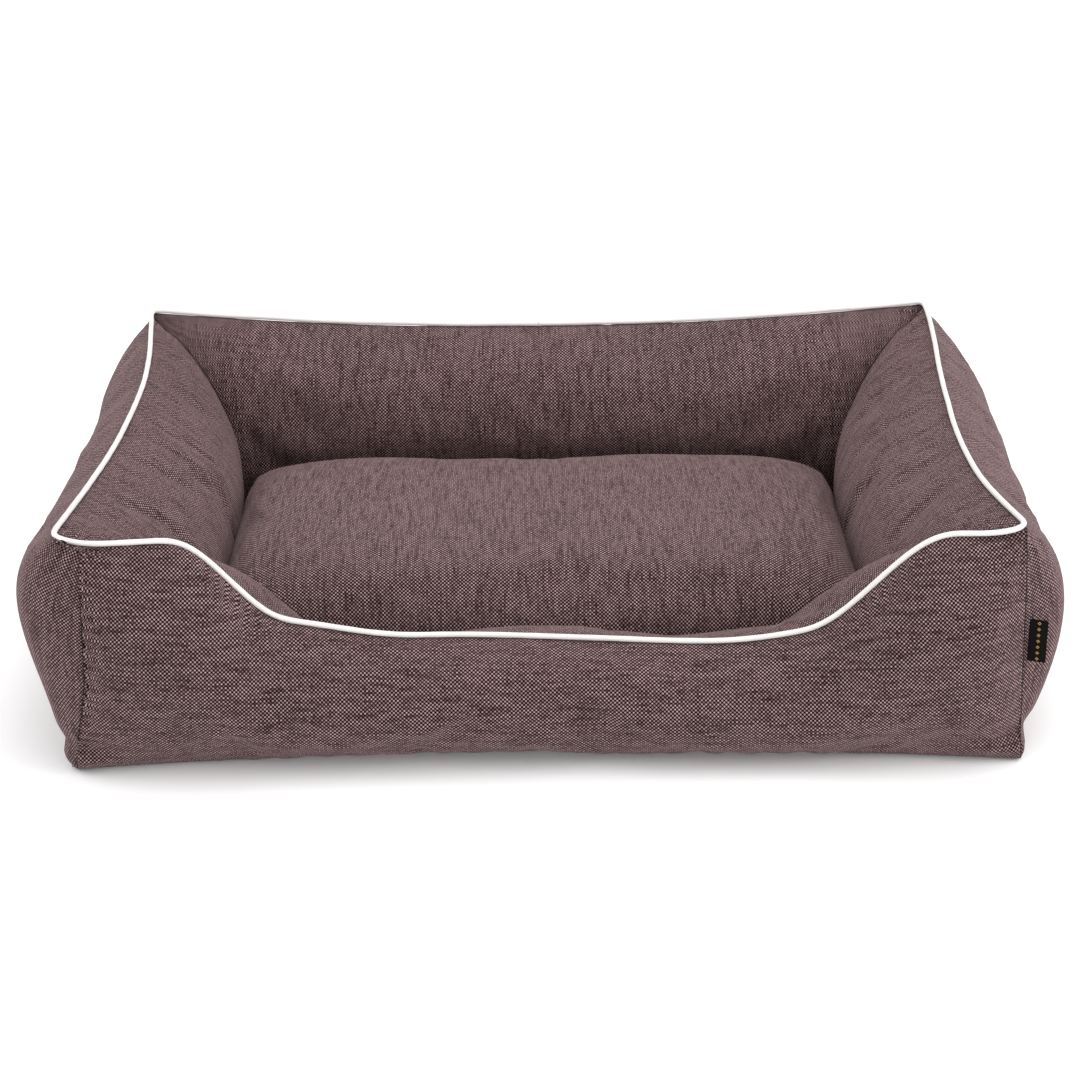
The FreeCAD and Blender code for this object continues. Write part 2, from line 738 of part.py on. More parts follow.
doc.recompute()
for obj in doc.Objects:
    if "Invalid" in obj.State or "Error" in obj.State:
        raise RuntimeError(f"{obj.Label} failed: {obj.State}")
os.makedirs("parts", exist_ok=True)
for node, obj in nodes.items():
    shape = obj.Shape
    if shape.isNull() or not shape.isValid() or shape.Volume <= 0:
        raise RuntimeError(f"{node} has no valid shape")
    shape.exportStep(f"parts/{node}.step")
    bounds = shape.BoundBox
    low = (round(bounds.XMin, 1), round(bounds.YMin, 1), round(bounds.ZMin, 1))
    high = (round(bounds.XMax, 1), round(bounds.YMax, 1), round(bounds.ZMax, 1))
    print(node, low, high, round(shape.Volume / 1000, 2), "cm3", len(shape.Solids), "solid")
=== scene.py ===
"""Looks of a pet cushion bed: a ring of stuffed bolsters round a lift-out mattress.

Everything is in metres in the bed's own frame: +X to the right along the low front wall, +Y to
the back, +Z up, with the origin on the floor under the bed's middle. A wall is described in its
own terms: "inward" is the distance in from the straight line between its two corners, "turn"
runs from -90 degrees at one corner to 90 degrees at the other, and "climb" from 0 at the hem to
1 at the piped ridge.
"""
import logging
import math
from dataclasses import dataclass
from enum import Enum
from typing import Callable, Optional, Sequence

import bmesh
import bpy
import numpy as np
from mathutils import Matrix, Vector


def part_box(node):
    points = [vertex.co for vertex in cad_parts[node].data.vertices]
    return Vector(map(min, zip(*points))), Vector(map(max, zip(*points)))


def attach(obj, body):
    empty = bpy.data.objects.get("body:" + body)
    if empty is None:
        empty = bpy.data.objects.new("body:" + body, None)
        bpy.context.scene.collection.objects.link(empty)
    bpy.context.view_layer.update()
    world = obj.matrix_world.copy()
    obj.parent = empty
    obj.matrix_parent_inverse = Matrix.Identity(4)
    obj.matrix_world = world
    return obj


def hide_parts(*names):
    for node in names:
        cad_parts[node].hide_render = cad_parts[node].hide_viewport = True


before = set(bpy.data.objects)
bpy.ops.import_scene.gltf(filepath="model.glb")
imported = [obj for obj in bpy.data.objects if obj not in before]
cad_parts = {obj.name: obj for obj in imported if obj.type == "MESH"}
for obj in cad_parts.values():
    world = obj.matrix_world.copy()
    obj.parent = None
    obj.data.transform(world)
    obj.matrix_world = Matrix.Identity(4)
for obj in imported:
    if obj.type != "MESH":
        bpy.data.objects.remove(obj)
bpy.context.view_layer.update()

LOG = logging.getLogger("pet_bed")
MM = 0.001


# ------------------------------------------------------------------ colours and nodes

def linear(code: str) -> tuple[float, float, float, float]:
    """Turn an sRGB hex colour into linear RGBA.

    Args:
        code: six hex digits, such as "6b5455".

    Returns:
        Red, green, blue and alpha, with alpha 1.
    """
    parts = [int(code[i:i + 2], 16) / 255 for i in (0, 2, 4)]
    curve = [c / 12.92 if c <= 0.04045 else ((c + 0.055) / 1.055) ** 2.4 for c in parts]
    return (curve[0], curve[1], curve[2], 1.0)


def add(tree: bpy.types.NodeTree, kind: str, links: Optional[dict] = None,
        **settings: object) -> bpy.types.Node:
    """Add one node with its settings and links.

    Args:
        tree: the material's node tree.
        kind: the node's type name without its "ShaderNode" prefix.
        links: input name or number to a socket to link or a value to set.
        settings: attributes of the node.

    Returns:
        The new node.
    """
    node = tree.nodes.new("ShaderNode" + kind)
    for name, value in settings.items():
        setattr(node, name, value)
    for key, value in (links or {}).items():
        if isinstance(value, bpy.types.NodeSocket):
            tree.links.new(value, node.inputs[key])
        else:
            node.inputs[key].default_value = value
    return node


def math_out(tree: bpy.types.NodeTree, operation: str, *values: object,
             clamp: bool = False) -> bpy.types.NodeSocket:
    """Add one Math node and return its result.

    Args:
        tree: the material's node tree.
        operation: Blender's name of the operation.
        values: sockets or numbers for its inputs, in order.
        clamp: whether the result is kept from 0 to 1.

    Returns:
        The result socket.
    """
    node = add(tree, "Math", dict(enumerate(values)), operation=operation, use_clamp=clamp)
    return node.outputs[0]


def mix_out(tree: bpy.types.NodeTree, share: object, first: object, second: object,
            blend: str = "MIX") -> bpy.types.NodeSocket:
    """Add one colour Mix node and return its result.

    Args:
        tree: the material's node tree.
        share: how much of the second colour, from 0 to 1.
        first: the first colour or socket.
        second: the second colour or socket.
        blend: Blender's name of the blend.

    Returns:
        The result socket.
    """
    node = add(tree, "Mix", {0: share, 6: first, 7: second}, data_type="RGBA", blend_type=blend)
    return node.outputs[2]


def noise_out(tree: bpy.types.NodeTree, vector: bpy.types.NodeSocket, scale: float, detail: float,
              flat: bool = False) -> bpy.types.NodeSocket:
    """Add one Noise texture and return its grey value.

    Args:
        tree: the material's node tree.
        vector: where the noise is read, in metres.
        scale: blotches in a metre.
        detail: how many finer layers lie on the first.
        flat: whether the noise has two dimensions, as on cloth, and not three.

    Returns:
        The value's socket.
    """
    node = add(tree, "TexNoise", {"Vector": vector, "Scale": scale, "Detail": detail},
               noise_dimensions="2D" if flat else "3D")
    return node.outputs[0]


class Finish:
    """A material: the finish's own numbers are its fields, and build() makes its nodes once."""

    name: str = "finish"

    def build(self) -> bpy.types.Material:
        """Make the finish's material the first time that it is asked for.

        Returns:
            The material, shared by every piece of this finish.
        """
        found = bpy.data.materials.get(self.name)
        if found:
            return found
        material = bpy.data.materials.new(self.name)
        material.use_nodes = True
        tree = material.node_tree
        tree.nodes.clear()
        shader = add(tree, "BsdfPrincipled")
        output = add(tree, "OutputMaterial")
        tree.links.new(shader.outputs[0], output.inputs[0])
        self.dress(tree, shader)
        return material

    def dress(self, tree: bpy.types.NodeTree, shader: bpy.types.Node) -> None:
        """Set the shader's sockets and the nodes that feed them.

        Args:
            tree: the material's node tree.
            shader: its Principled node, which these nodes feed.
        """
        raise NotImplementedError

    def put(self, shader: bpy.types.Node, **values: object) -> None:
        """Set plain values on the shader's own sockets, with underscores for spaces."""
        for key, value in values.items():
            shader.inputs[key.replace("_", " ")].default_value = value

    def paint(self, tree: bpy.types.NodeTree, shader: bpy.types.Node, share: bpy.types.NodeSocket,
              first: str, second: str) -> None:
        """Colour the shader by a mix of two hex colours."""
        tree.links.new(mix_out(tree, share, linear(first), linear(second)), shader.inputs["Base Color"])

    def emboss(self, tree: bpy.types.NodeTree, shader: bpy.types.Node, height: bpy.types.NodeSocket,
               strength: float, distance: float) -> None:
        """Give the shader a relief from a height."""
        bump = add(tree, "Bump", {"Strength": strength, "Distance": distance, "Height": height})
        tree.links.new(bump.outputs[0], shader.inputs["Normal"])


@dataclass(frozen=True)
class YarnShade:
    """How pale a yarn is where it lies on top: its own shade, changed a little at every crossing."""

    gain: float
    base: float
    fleck: float

    def share(self, tree: bpy.types.NodeTree, yarn: bpy.types.NodeSocket,
              fleck: bpy.types.NodeSocket) -> bpy.types.NodeSocket:
        """Share of the paler colour.

        Args:
            tree: the material's node tree.
            yarn: the yarn's shade along its run, from 0 to 1.
            fleck: a draw from 0 to 1 for each crossing.

        Returns:
            gain * yarn + base, plus or minus up to half of the fleck, kept from 0 to 1.
        """
        shade = math_out(tree, "MULTIPLY_ADD", yarn, self.gain, self.base)
        change = math_out(tree, "MULTIPLY_ADD", fleck, self.fleck, -self.fleck / 2)
        return math_out(tree, "ADD", shade, change, clamp=True)


@dataclass(frozen=True)
class HopsackCloth(Finish):
    """Woven hopsack of polyester and linen-look yarn: pale and dark threads cross in a fine check.

    The thread spacing and the slubs, thicker stretches of yarn, give the cloth its grain of
    pale dots and faint streaks. Loose fibre ends give a soft sheen at low angles.
    """

    name: str = "woven_hopsack_upholstery"
    thread: float = 1.9 * MM
    pale: str = "bc9d9e"
    dark: str = "0b0303"
    mid: str = "3a2123"
    weft: YarnShade = YarnShade(0.75, 0.32, 0.5)
    warp: YarnShade = YarnShade(0.5, 0.0, 0.4)
    slub_length: float = 34 * MM
    slub_contrast: float = 1.8
    slub_floor: float = -0.4
    drift: float = 0.9 * MM
    drift_scale: float = 55.0
    round_power: float = 0.6
    relief: float = 0.5 * MM

    def dress(self, tree: bpy.types.NodeTree, shader: bpy.types.Node) -> None:
        """Thread by thread: which yarn is on top, its slubs, its roundness and its shade, with painted
        shade where each thread dips at its edges.

        Args:
            tree: the material's node tree.
            shader: its Principled node, which these nodes feed.
        """
        weave = add(tree, "UVMap", uv_map="weave").outputs[0]
        drift = add(tree, "TexNoise", {"Vector": weave, "Scale": self.drift_scale, "Detail": 1.0},
                    noise_dimensions="2D")
        centred = add(tree, "VectorMath", {0: drift.outputs[1], 1: (0.5, 0.5, 0.5)}, operation="SUBTRACT")
        shaken = add(tree, "VectorMath", {0: centred.outputs[0], 3: self.drift}, operation="SCALE")
        moved = add(tree, "VectorMath", {0: weave, 1: shaken.outputs[0]}, operation="ADD")
        counted = add(tree, "VectorMath", {0: moved.outputs[0], 3: 1 / self.thread}, operation="SCALE")
        axes = add(tree, "SeparateXYZ", {0: counted.outputs[0]})
        across, along = axes.outputs[0], axes.outputs[1]
        row = math_out(tree, "FLOOR", along)
        column = math_out(tree, "FLOOR", across)
        odd = math_out(tree, "PINGPONG", math_out(tree, "ADD", row, column), 1.0)
        weft_yarn = self.yarn(tree, row, across)
        warp_yarn = self.yarn(tree, math_out(tree, "ADD", column, 531.0), along)
        round_weft = self.bow(tree, along, across)
        round_warp = self.bow(tree, across, along)
        height = add(tree, "Mix", {0: odd, 2: round_weft, 3: round_warp}, data_type="FLOAT").outputs[0]
        crossing = add(tree, "CombineXYZ", {0: row, 1: column, 2: 7.0}).outputs[0]
        fleck = add(tree, "TexWhiteNoise", {"Vector": crossing}, noise_dimensions="3D").outputs[0]
        pale_share = self.weft.share(tree, weft_yarn, fleck)
        pale_tone = mix_out(tree, pale_share, linear(self.mid), linear(self.pale))
        dark_share = self.warp.share(tree, warp_yarn, fleck)
        dark_tone = mix_out(tree, dark_share, linear(self.dark), linear(self.mid))
        top_tone = mix_out(tree, odd, pale_tone, dark_tone)
        # painted shade: the colour goes to the dark yarn colour where a thread dips at its edges, standing
        # in for the shade in the gaps between threads
        depth = math_out(tree, "MULTIPLY_ADD", height, 1.0, 0.1, clamp=True)
        tree.links.new(mix_out(tree, depth, linear(self.dark), top_tone), shader.inputs["Base Color"])
        self.emboss(tree, shader, height, 0.8, self.relief)
        self.put(shader, Roughness=0.9, Specular_IOR_Level=0.06, Sheen_Weight=0.25,
                 Sheen_Roughness=0.4, Sheen_Tint=linear("f0cfd3"))

    def yarn(self, tree: bpy.types.NodeTree, lane: bpy.types.NodeSocket,
             run: bpy.types.NodeSocket) -> bpy.types.NodeSocket:
        """Shade of one yarn along its run: each lane has its own slubs.

        Args:
            tree: the material's node tree.
            lane: the yarn's number.
            run: distance along it, in threads.

        Returns:
            A soft noise along the yarn, stretched and cut to run from 0 to 1.
        """
        stretch = math_out(tree, "MULTIPLY", run, self.thread / self.slub_length)
        place = add(tree, "CombineXYZ", {0: math_out(tree, "MULTIPLY", lane, 3.7), 1: stretch}).outputs[0]
        noise = noise_out(tree, place, 1.0, 1.5, flat=True)
        return math_out(tree, "MULTIPLY_ADD", noise, self.slub_contrast, self.slub_floor, clamp=True)

    def bow(self, tree: bpy.types.NodeTree, side: bpy.types.NodeSocket,
            run: bpy.types.NodeSocket) -> bpy.types.NodeSocket:
        """Height of the yarn on top: round across its width and arched along its float.

        Args:
            tree: the material's node tree.
            side: distance across the yarn, in threads.
            run: distance along it, in threads.

        Returns:
            The product of two half sines, each raised to a power under 1 that flattens its top.
        """
        halves = []
        for distance in (side, run):
            phase = math_out(tree, "MULTIPLY", math_out(tree, "FRACT", distance), math.pi)
            halves.append(math_out(tree, "POWER", math_out(tree, "SINE", phase), self.round_power))
        return math_out(tree, "MULTIPLY", *halves)


@dataclass(frozen=True)
class PipingCloth(Finish):
    """Bias-cut cotton twill wrapped tightly over a cord: off-white, matt, with fine slanting ribs."""

    name: str = "white_bias_twill"
    tone: str = "efece9"
    shade: str = "d2cbc8"
    rib: float = 0.9 * MM

    def dress(self, tree: bpy.types.NodeTree, shader: bpy.types.Node) -> None:
        """Slanting ribs in the colour and the relief.

        Args:
            tree: the material's node tree.
            shader: its Principled node, which these nodes feed.
        """
        weave = add(tree, "UVMap", uv_map="weave").outputs[0]
        axes = add(tree, "SeparateXYZ", {0: weave})
        slant = math_out(tree, "ADD", axes.outputs[0], axes.outputs[1])
        wave = math_out(tree, "SINE", math_out(tree, "MULTIPLY", slant, 2 * math.pi / self.rib))
        share = math_out(tree, "MULTIPLY_ADD", wave, 0.25, 0.25)
        grime = noise_out(tree, weave, 30.0, 2.0, flat=True)
        self.paint(tree, shader, math_out(tree, "MULTIPLY", grime, share), self.tone, self.shade)
        self.emboss(tree, shader, wave, 0.4, 0.15 * MM)
        self.put(shader, Roughness=0.7, Specular_IOR_Level=0.3, Sheen_Weight=0.15, Sheen_Roughness=0.5)


@dataclass(frozen=True)
class PlainWeave(Finish):
    """A plain dark cloth, such as the zips' woven tape or the lining: a fine over-and-under check."""

    name: str = "plain_woven_lining"
    tone: str = "1a181a"
    shade: str = "0c0b0c"
    thread: float = 0.7 * MM
    sheen: float = 0.2

    def dress(self, tree: bpy.types.NodeTree, shader: bpy.types.Node) -> None:
        """A check of raised and sunk threads.

        Args:
            tree: the material's node tree.
            shader: its Principled node, which these nodes feed.
        """
        weave = add(tree, "UVMap", uv_map="weave").outputs[0]
        check = add(tree, "TexChecker", {"Vector": weave, "Scale": 1 / self.thread}).outputs[1]
        wear = math_out(tree, "MULTIPLY", noise_out(tree, weave, 40.0, 3.0, flat=True), 0.4)
        share = math_out(tree, "MULTIPLY_ADD", check, 0.5, wear)
        self.paint(tree, shader, share, self.tone, self.shade)
        self.emboss(tree, shader, check, 0.5, 0.15 * MM)
        self.put(shader, Roughness=0.85, Specular_IOR_Level=0.25, Sheen_Weight=self.sheen,
                 Sheen_Roughness=0.4)


@dataclass(frozen=True)
class MouldedGrip(Finish):
    """Soft PVC dots screen-printed on the base cloth: dark, rubbery and faintly glossy."""

    name: str = "printed_pvc_grip"
    tone: str = "161617"
    dusty: str = "37363a"

    def dress(self, tree: bpy.types.NodeTree, shader: bpy.types.Node) -> None:
        """Dust breaks up the gloss.

        Args:
            tree: the material's node tree.
            shader: its Principled node, which these nodes feed.
        """
        spot = add(tree, "TexCoord").outputs["Object"]
        dust = noise_out(tree, spot, 90.0, 3.0)
        self.paint(tree, shader, math_out(tree, "MULTIPLY", dust, 0.5), self.tone, self.dusty)
        rough = math_out(tree, "MULTIPLY_ADD", dust, 0.3, 0.4)
        tree.links.new(rough, shader.inputs["Roughness"])
        self.put(shader, Specular_IOR_Level=0.45)


@dataclass(frozen=True)
class NylonCoil(Finish):
    """Extruded nylon monofilament of a zip's coil: dark brown with a soft plastic gloss."""

    name: str = "extruded_nylon_coil"
    tone: str = "33211f"
    paler: str = "4d3633"

    def dress(self, tree: bpy.types.NodeTree, shader: bpy.types.Node) -> None:
        """Slight differences from turn to turn.

        Args:
            tree: the material's node tree.
            shader: its Principled node, which these nodes feed.
        """
        spot = add(tree, "TexCoord").outputs["Object"]
        change = math_out(tree, "MULTIPLY", noise_out(tree, spot, 600.0, 1.0), 0.6)
        self.paint(tree, shader, change, self.tone, self.paler)
        self.put(shader, Roughness=0.35, Specular_IOR_Level=0.5, Coat_Weight=0.2, Coat_Roughness=0.2)


@dataclass(frozen=True)
class LacqueredZinc(Finish):
    """Die-cast zinc under dark brown lacquer: a zip's slider, pull and stops, worn at the edges."""

    name: str = "lacquered_diecast_zinc"
    tone: str = "2b201f"
    bare: str = "8a8582"

    def dress(self, tree: bpy.types.NodeTree, shader: bpy.types.Node) -> None:
        """Lacquer with fine scratches that show the bare metal.

        Args:
            tree: the material's node tree.
            shader: its Principled node, which these nodes feed.
        """
        spot = add(tree, "TexCoord").outputs["Object"]
        scratch = noise_out(tree, spot, 900.0, 4.0)
        worn = add(tree, "MapRange", {0: scratch, 1: 0.62, 2: 0.72}).outputs[0]
        self.paint(tree, shader, worn, self.tone, self.bare)
        rough = math_out(tree, "MULTIPLY_ADD", scratch, 0.25, 0.25)
        tree.links.new(rough, shader.inputs["Roughness"])
        self.put(shader, Metallic=0.85)


@dataclass(frozen=True)
class SatinLabel(Finish):
    """Damask-woven satin tape: black ground with a plain row of golden lozenges along the fold."""

    name: str = "damask_woven_satin"
    ground: str = "060405"
    shine: str = "0f0b0d"
    gold: str = "b08a4a"
    pitch: float = 6 * MM
    motif_half: float = 1.7 * MM
    hollow_share: float = 0.45
    rib: float = 0.35 * MM

    def dress(self, tree: bpy.types.NodeTree, shader: bpy.types.Node) -> None:
        """A lozenge is where the two distances from its centre add up to less than its half size.

        Args:
            tree: the material's node tree.
            shader: its Principled node, which these nodes feed.
        """
        weave = add(tree, "UVMap", uv_map="weave").outputs[0]
        axes = add(tree, "SeparateXYZ", {0: weave})
        step = math_out(tree, "PINGPONG", axes.outputs[1], self.pitch / 2)
        reach = math_out(tree, "ADD", math_out(tree, "ABSOLUTE", axes.outputs[0]), step)
        motif = math_out(tree, "LESS_THAN", reach, self.motif_half)
        hollow = math_out(tree, "GREATER_THAN", reach, self.motif_half * self.hollow_share)
        mask = math_out(tree, "MULTIPLY", motif, hollow)
        rib = math_out(tree, "SINE", math_out(tree, "MULTIPLY", axes.outputs[1], 2 * math.pi / self.rib))
        gloss = math_out(tree, "MULTIPLY_ADD", rib, 0.3, 0.4)
        ground = mix_out(tree, gloss, linear(self.ground), linear(self.shine))
        tree.links.new(mix_out(tree, mask, ground, linear(self.gold)), shader.inputs["Base Color"])
        self.emboss(tree, shader, math_out(tree, "MULTIPLY_ADD", mask, 0.8, rib), 0.4, 0.1 * MM)
        self.put(shader, Roughness=0.6, Specular_IOR_Level=0.08)


@dataclass(frozen=True)
class FibreFill(Finish):
    """Carded hollow polyester fibre: white, matt, fluffy."""

    name: str = "carded_polyester_fibre"
    tone: str = "f4f3f0"
    shade: str = "d8d6d0"

    def dress(self, tree: bpy.types.NodeTree, shader: bpy.types.Node) -> None:
        """Tufts in the shade and the relief.

        Args:
            tree: the material's node tree.
            shader: its Principled node, which these nodes feed.
        """
        spot = add(tree, "TexCoord").outputs["Object"]
        tuft = noise_out(tree, spot, 60.0, 6.0)
        self.paint(tree, shader, tuft, self.tone, self.shade)
        self.emboss(tree, shader, tuft, 0.8, 4 * MM)
        self.put(shader, Roughness=0.95, Sheen_Weight=0.4)


@dataclass(frozen=True)
class StudioFloor(Finish):
    """The studio's matt white sweep."""

    name: str = "studio_sweep"
    tone: str = "ffffff"
    shade: str = "fbfbfc"
    glow: float = 0.07

    def dress(self, tree: bpy.types.NodeTree, shader: bpy.types.Node) -> None:
        """One even white with a very faint mottle, and a little light of its own as on a light table.

        Args:
            tree: the material's node tree.
            shader: its Principled node, which these nodes feed.
        """
        spot = add(tree, "TexCoord").outputs["Object"]
        mottle = math_out(tree, "MULTIPLY", noise_out(tree, spot, 2.0, 2.0), 0.2)
        self.paint(tree, shader, mottle, self.tone, self.shade)
        self.put(shader, Roughness=0.9, Specular_IOR_Level=0.1, Emission_Color=linear(self.tone),
                 Emission_Strength=self.glow)


# ------------------------------------------------------------------ meshes

def unit(vectors: np.ndarray) -> np.ndarray:
    """Scale vectors in the last axis to length 1."""
    return vectors / np.maximum(np.linalg.norm(vectors, axis=-1, keepdims=True), 1e-12)


def grid_faces(rows: int, columns: int, wrap: bool = False, start: int = 0) -> np.ndarray:
    """Quads of a grid of points counted row by row.

    Args:
        rows: number of rows.
        columns: points in a row.
        wrap: whether the last column joins the first.
        start: number of the first point.

    Returns:
        Four point numbers for each quad.
    """
    last = columns if wrap else columns - 1
    row, column = np.meshgrid(np.arange(rows - 1), np.arange(last), indexing="ij")
    ahead = (column + 1) % columns
    quads = np.stack([
        row * columns + column, row * columns + ahead,
        (row + 1) * columns + ahead, (row + 1) * columns + column,
    ], axis=-1)
    return quads.reshape(-1, 4) + start


def make_object(name: str, points: np.ndarray, faces: np.ndarray, finish: Finish,
                uv: Optional[np.ndarray] = None, smooth: bool = True) -> bpy.types.Object:
    """Make a mesh object from points and equal-sided faces.

    Args:
        name: the piece's name.
        points: n by 3 places.
        faces: m by 3 or 4 point numbers.
        finish: the piece's finish.
        uv: n by 2 cloth coordinates in metres, one for each point.
        smooth: whether the faces are smooth-shaded.

    Returns:
        The object, linked into the scene.
    """
    mesh = bpy.data.meshes.new(name)
    sides = faces.shape[1]
    mesh.vertices.add(len(points))
    mesh.vertices.foreach_set("co", np.ascontiguousarray(points, np.float32).ravel())
    mesh.loops.add(faces.size)
    mesh.loops.foreach_set("vertex_index", np.ascontiguousarray(faces, np.int32).ravel())
    mesh.polygons.add(len(faces))
    mesh.polygons.foreach_set("loop_start", np.arange(0, faces.size, sides, dtype=np.int32))
    mesh.polygons.foreach_set("use_smooth", np.full(len(faces), smooth))
    mesh.update(calc_edges=True)
    if uv is not None:
        layer = mesh.uv_layers.new(name="weave")
        layer.data.foreach_set("uv", np.ascontiguousarray(uv[faces.ravel()], np.float32).ravel())
    mesh.materials.append(finish.build())
    mesh.validate()
    piece = bpy.data.objects.new(name, mesh)
    bpy.context.scene.collection.objects.link(piece)
    return piece


def settle(piece: bpy.types.Object, body: str, slot: str, *nodes: str) -> bpy.types.Object:
    """Give a finished piece its body and hide the nodes that it stands for.

    Args:
        piece: the piece.
        body: the body that carries it.
        slot: its material slot; not used.
        nodes: the nodes that it replaces, if any.

    Returns:
        The same piece.
    """
    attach(piece, body)
    if nodes:
        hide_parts(*nodes)
    LOG.info("%s: %d points on %s", piece.name, len(piece.data.vertices), body)
    return piece


def thicken(piece: bpy.types.Object, thickness: float) -> None:
    """Give a sheet its thickness, behind the face that shows.

    Args:
        piece: the sheet.
        thickness: in metres.
    """
    modifier = piece.modifiers.new("thickness", "SOLIDIFY")
    modifier.thickness = thickness
    modifier.offset = -1.0


def lengths_along(points: np.ndarray, axis: int) -> np.ndarray:
    """Distance run along one axis of a grid of points.

    Args:
        points: the grid's places.
        axis: 0 to run from row to row, 1 to run from column to column.

    Returns:
        A distance for each point, 0 in the first row or column.
    """
    steps = np.linalg.norm(np.diff(points, axis=axis), axis=-1)
    pad = [(0, 0), (0, 0)]
    pad[axis] = (1, 0)
    return np.cumsum(np.pad(steps, pad), axis=axis)


def run_of(line: np.ndarray) -> np.ndarray:
    """Distance run along a line of points, 0 at its first one."""
    return np.concatenate([[0], np.cumsum(np.linalg.norm(np.diff(line, axis=0), axis=-1))])


def grid_normals(points: np.ndarray) -> np.ndarray:
    """Unit normals of a grid: the cross product of its differences along rows and columns."""
    return unit(np.cross(np.gradient(points, axis=1), np.gradient(points, axis=0)))


def ripple(seed: int, across: np.ndarray, pitch: float) -> np.ndarray:
    """An uneven wave along a seam: three sines whose pitches and phases come from a seed.

    Args:
        seed: makes one seam differ from another.
        across: distance along the seam.
        pitch: mean distance from crest to crest.

    Returns:
        A wave of about -1 to 1.
    """
    draw = np.random.default_rng(seed)
    wave = np.zeros_like(across)
    for share in (0.5, 0.3, 0.2):
        stretch = pitch * draw.uniform(0.6, 1.7)
        wave += share * np.sin(2 * math.pi * across / stretch + draw.uniform(0, 2 * math.pi))
    return wave


def cloud(seed: int, spots: np.ndarray, size: float) -> np.ndarray:
    """Soft unevenness in space: a sum of plane waves with directions and phases from a seed.

    Args:
        seed: makes one piece differ from another.
        spots: places, with the coordinates in the last axis.
        size: mean wavelength.

    Returns:
        A field of about -1 to 1.
    """
    draw = np.random.default_rng(seed)
    field = np.zeros(spots.shape[:-1])
    for _ in range(9):
        heading = unit(draw.normal(size=3))
        wavelength = size * draw.uniform(0.6, 1.6)
        field += np.sin(2 * math.pi * (spots @ heading) / wavelength + draw.uniform(0, 2 * math.pi))
    return field / 4.5


# ------------------------------------------------------------------ cloth simulation

@dataclass(frozen=True)
class Stuffing:
    """How a sewn panel is blown out by what is behind it, with its seams held.

    The simulated move is cut at a cap and fades out within a short distance of the seams.
    """

    pressure: float = 3.0
    cap: float = 6 * MM
    spare_cloth: float = 0.012
    held_back: float = 35 * MM
    frames: int = 18

    def press(self, points: np.ndarray) -> np.ndarray:
        """Simulate the panel as cloth held along its border.

        Args:
            points: the panel's grid, whose normals face outwards.

        Returns:
            How far each point moves, no further than the cap.
        """
        rows, columns = points.shape[:2]
        scene = bpy.context.scene
        mesh = bpy.data.meshes.new("panel_at_work")
        mesh.from_pydata(points.reshape(-1, 3).tolist(), [], grid_faces(rows, columns)[:, ::-1].tolist())
        panel = bpy.data.objects.new("panel_at_work", mesh)
        scene.collection.objects.link(panel)
        seams = panel.vertex_groups.new(name="seams")
        index = np.arange(rows * columns).reshape(rows, columns)
        border = np.concatenate([index[0], index[-1], index[:, 0], index[:, -1]])
        seams.add(np.unique(border).tolist(), 1.0, "REPLACE")
        cloth = panel.modifiers.new("cloth", "CLOTH")
        cloth.settings.vertex_group_mass = "seams"
        cloth.settings.quality = 5
        cloth.settings.mass = 0.35
        cloth.settings.tension_stiffness = 25
        cloth.settings.compression_stiffness = 25
        cloth.settings.shear_stiffness = 8
        cloth.settings.bending_stiffness = 2.0
        cloth.settings.shrink_min = -self.spare_cloth
        cloth.settings.use_pressure = True
        cloth.settings.uniform_pressure_force = self.pressure
        cloth.settings.effector_weights.gravity = 0.0
        cloth.point_cache.frame_start = 1
        cloth.point_cache.frame_end = self.frames
        for number in range(1, self.frames + 1):
            scene.frame_set(number)
        after = panel.evaluated_get(bpy.context.evaluated_depsgraph_get()).to_mesh()
        places = np.empty(rows * columns * 3, np.float32)
        after.vertices.foreach_get("co", places)
        bpy.data.objects.remove(panel)
        scene.frame_set(1)
        moved = places.reshape(rows, columns, 3) - points
        length = np.linalg.norm(moved, axis=-1, keepdims=True)
        run, rise = lengths_along(points, 0), lengths_along(points, 1)
        edge = np.minimum(np.minimum(run, run[-1:] - run), np.minimum(rise, rise[:, -1:] - rise))
        freed = 1 - np.exp(-edge / self.held_back)
        return moved * freed[..., None] * np.minimum(1.0, self.cap / np.maximum(length, 1e-9))


def finer(field: np.ndarray) -> np.ndarray:
    """Put one point between every two of a grid, along both axes.

    Args:
        field: a grid of numbers or vectors, its rows and columns in the first two axes.

    Returns:
        The grid with 2n - 1 points for n; each new one is its two neighbours' mean.
    """
    for axis in (0, 1):
        field = np.moveaxis(field, axis, 0)
        wide = np.empty((2 * len(field) - 1,) + field.shape[1:])
        wide[::2] = field
        wide[1::2] = (field[1:] + field[:-1]) / 2
        field = np.moveaxis(wide, 0, axis)
    return field


EARLIER, LATER, WHOLE = slice(None, -1), slice(1, None), slice(None)
LINKED = (
    ((EARLIER, WHOLE), (LATER, WHOLE)),
    ((WHOLE, EARLIER), (WHOLE, LATER)),
    ((EARLIER, EARLIER), (LATER, LATER)),
    ((EARLIER, LATER), (LATER, EARLIER)),
)
FLATTEN_LEVELS = (8, 4, 2, 1)
FLATTEN_PASSES = 40
FLATTEN_PULL = 0.2


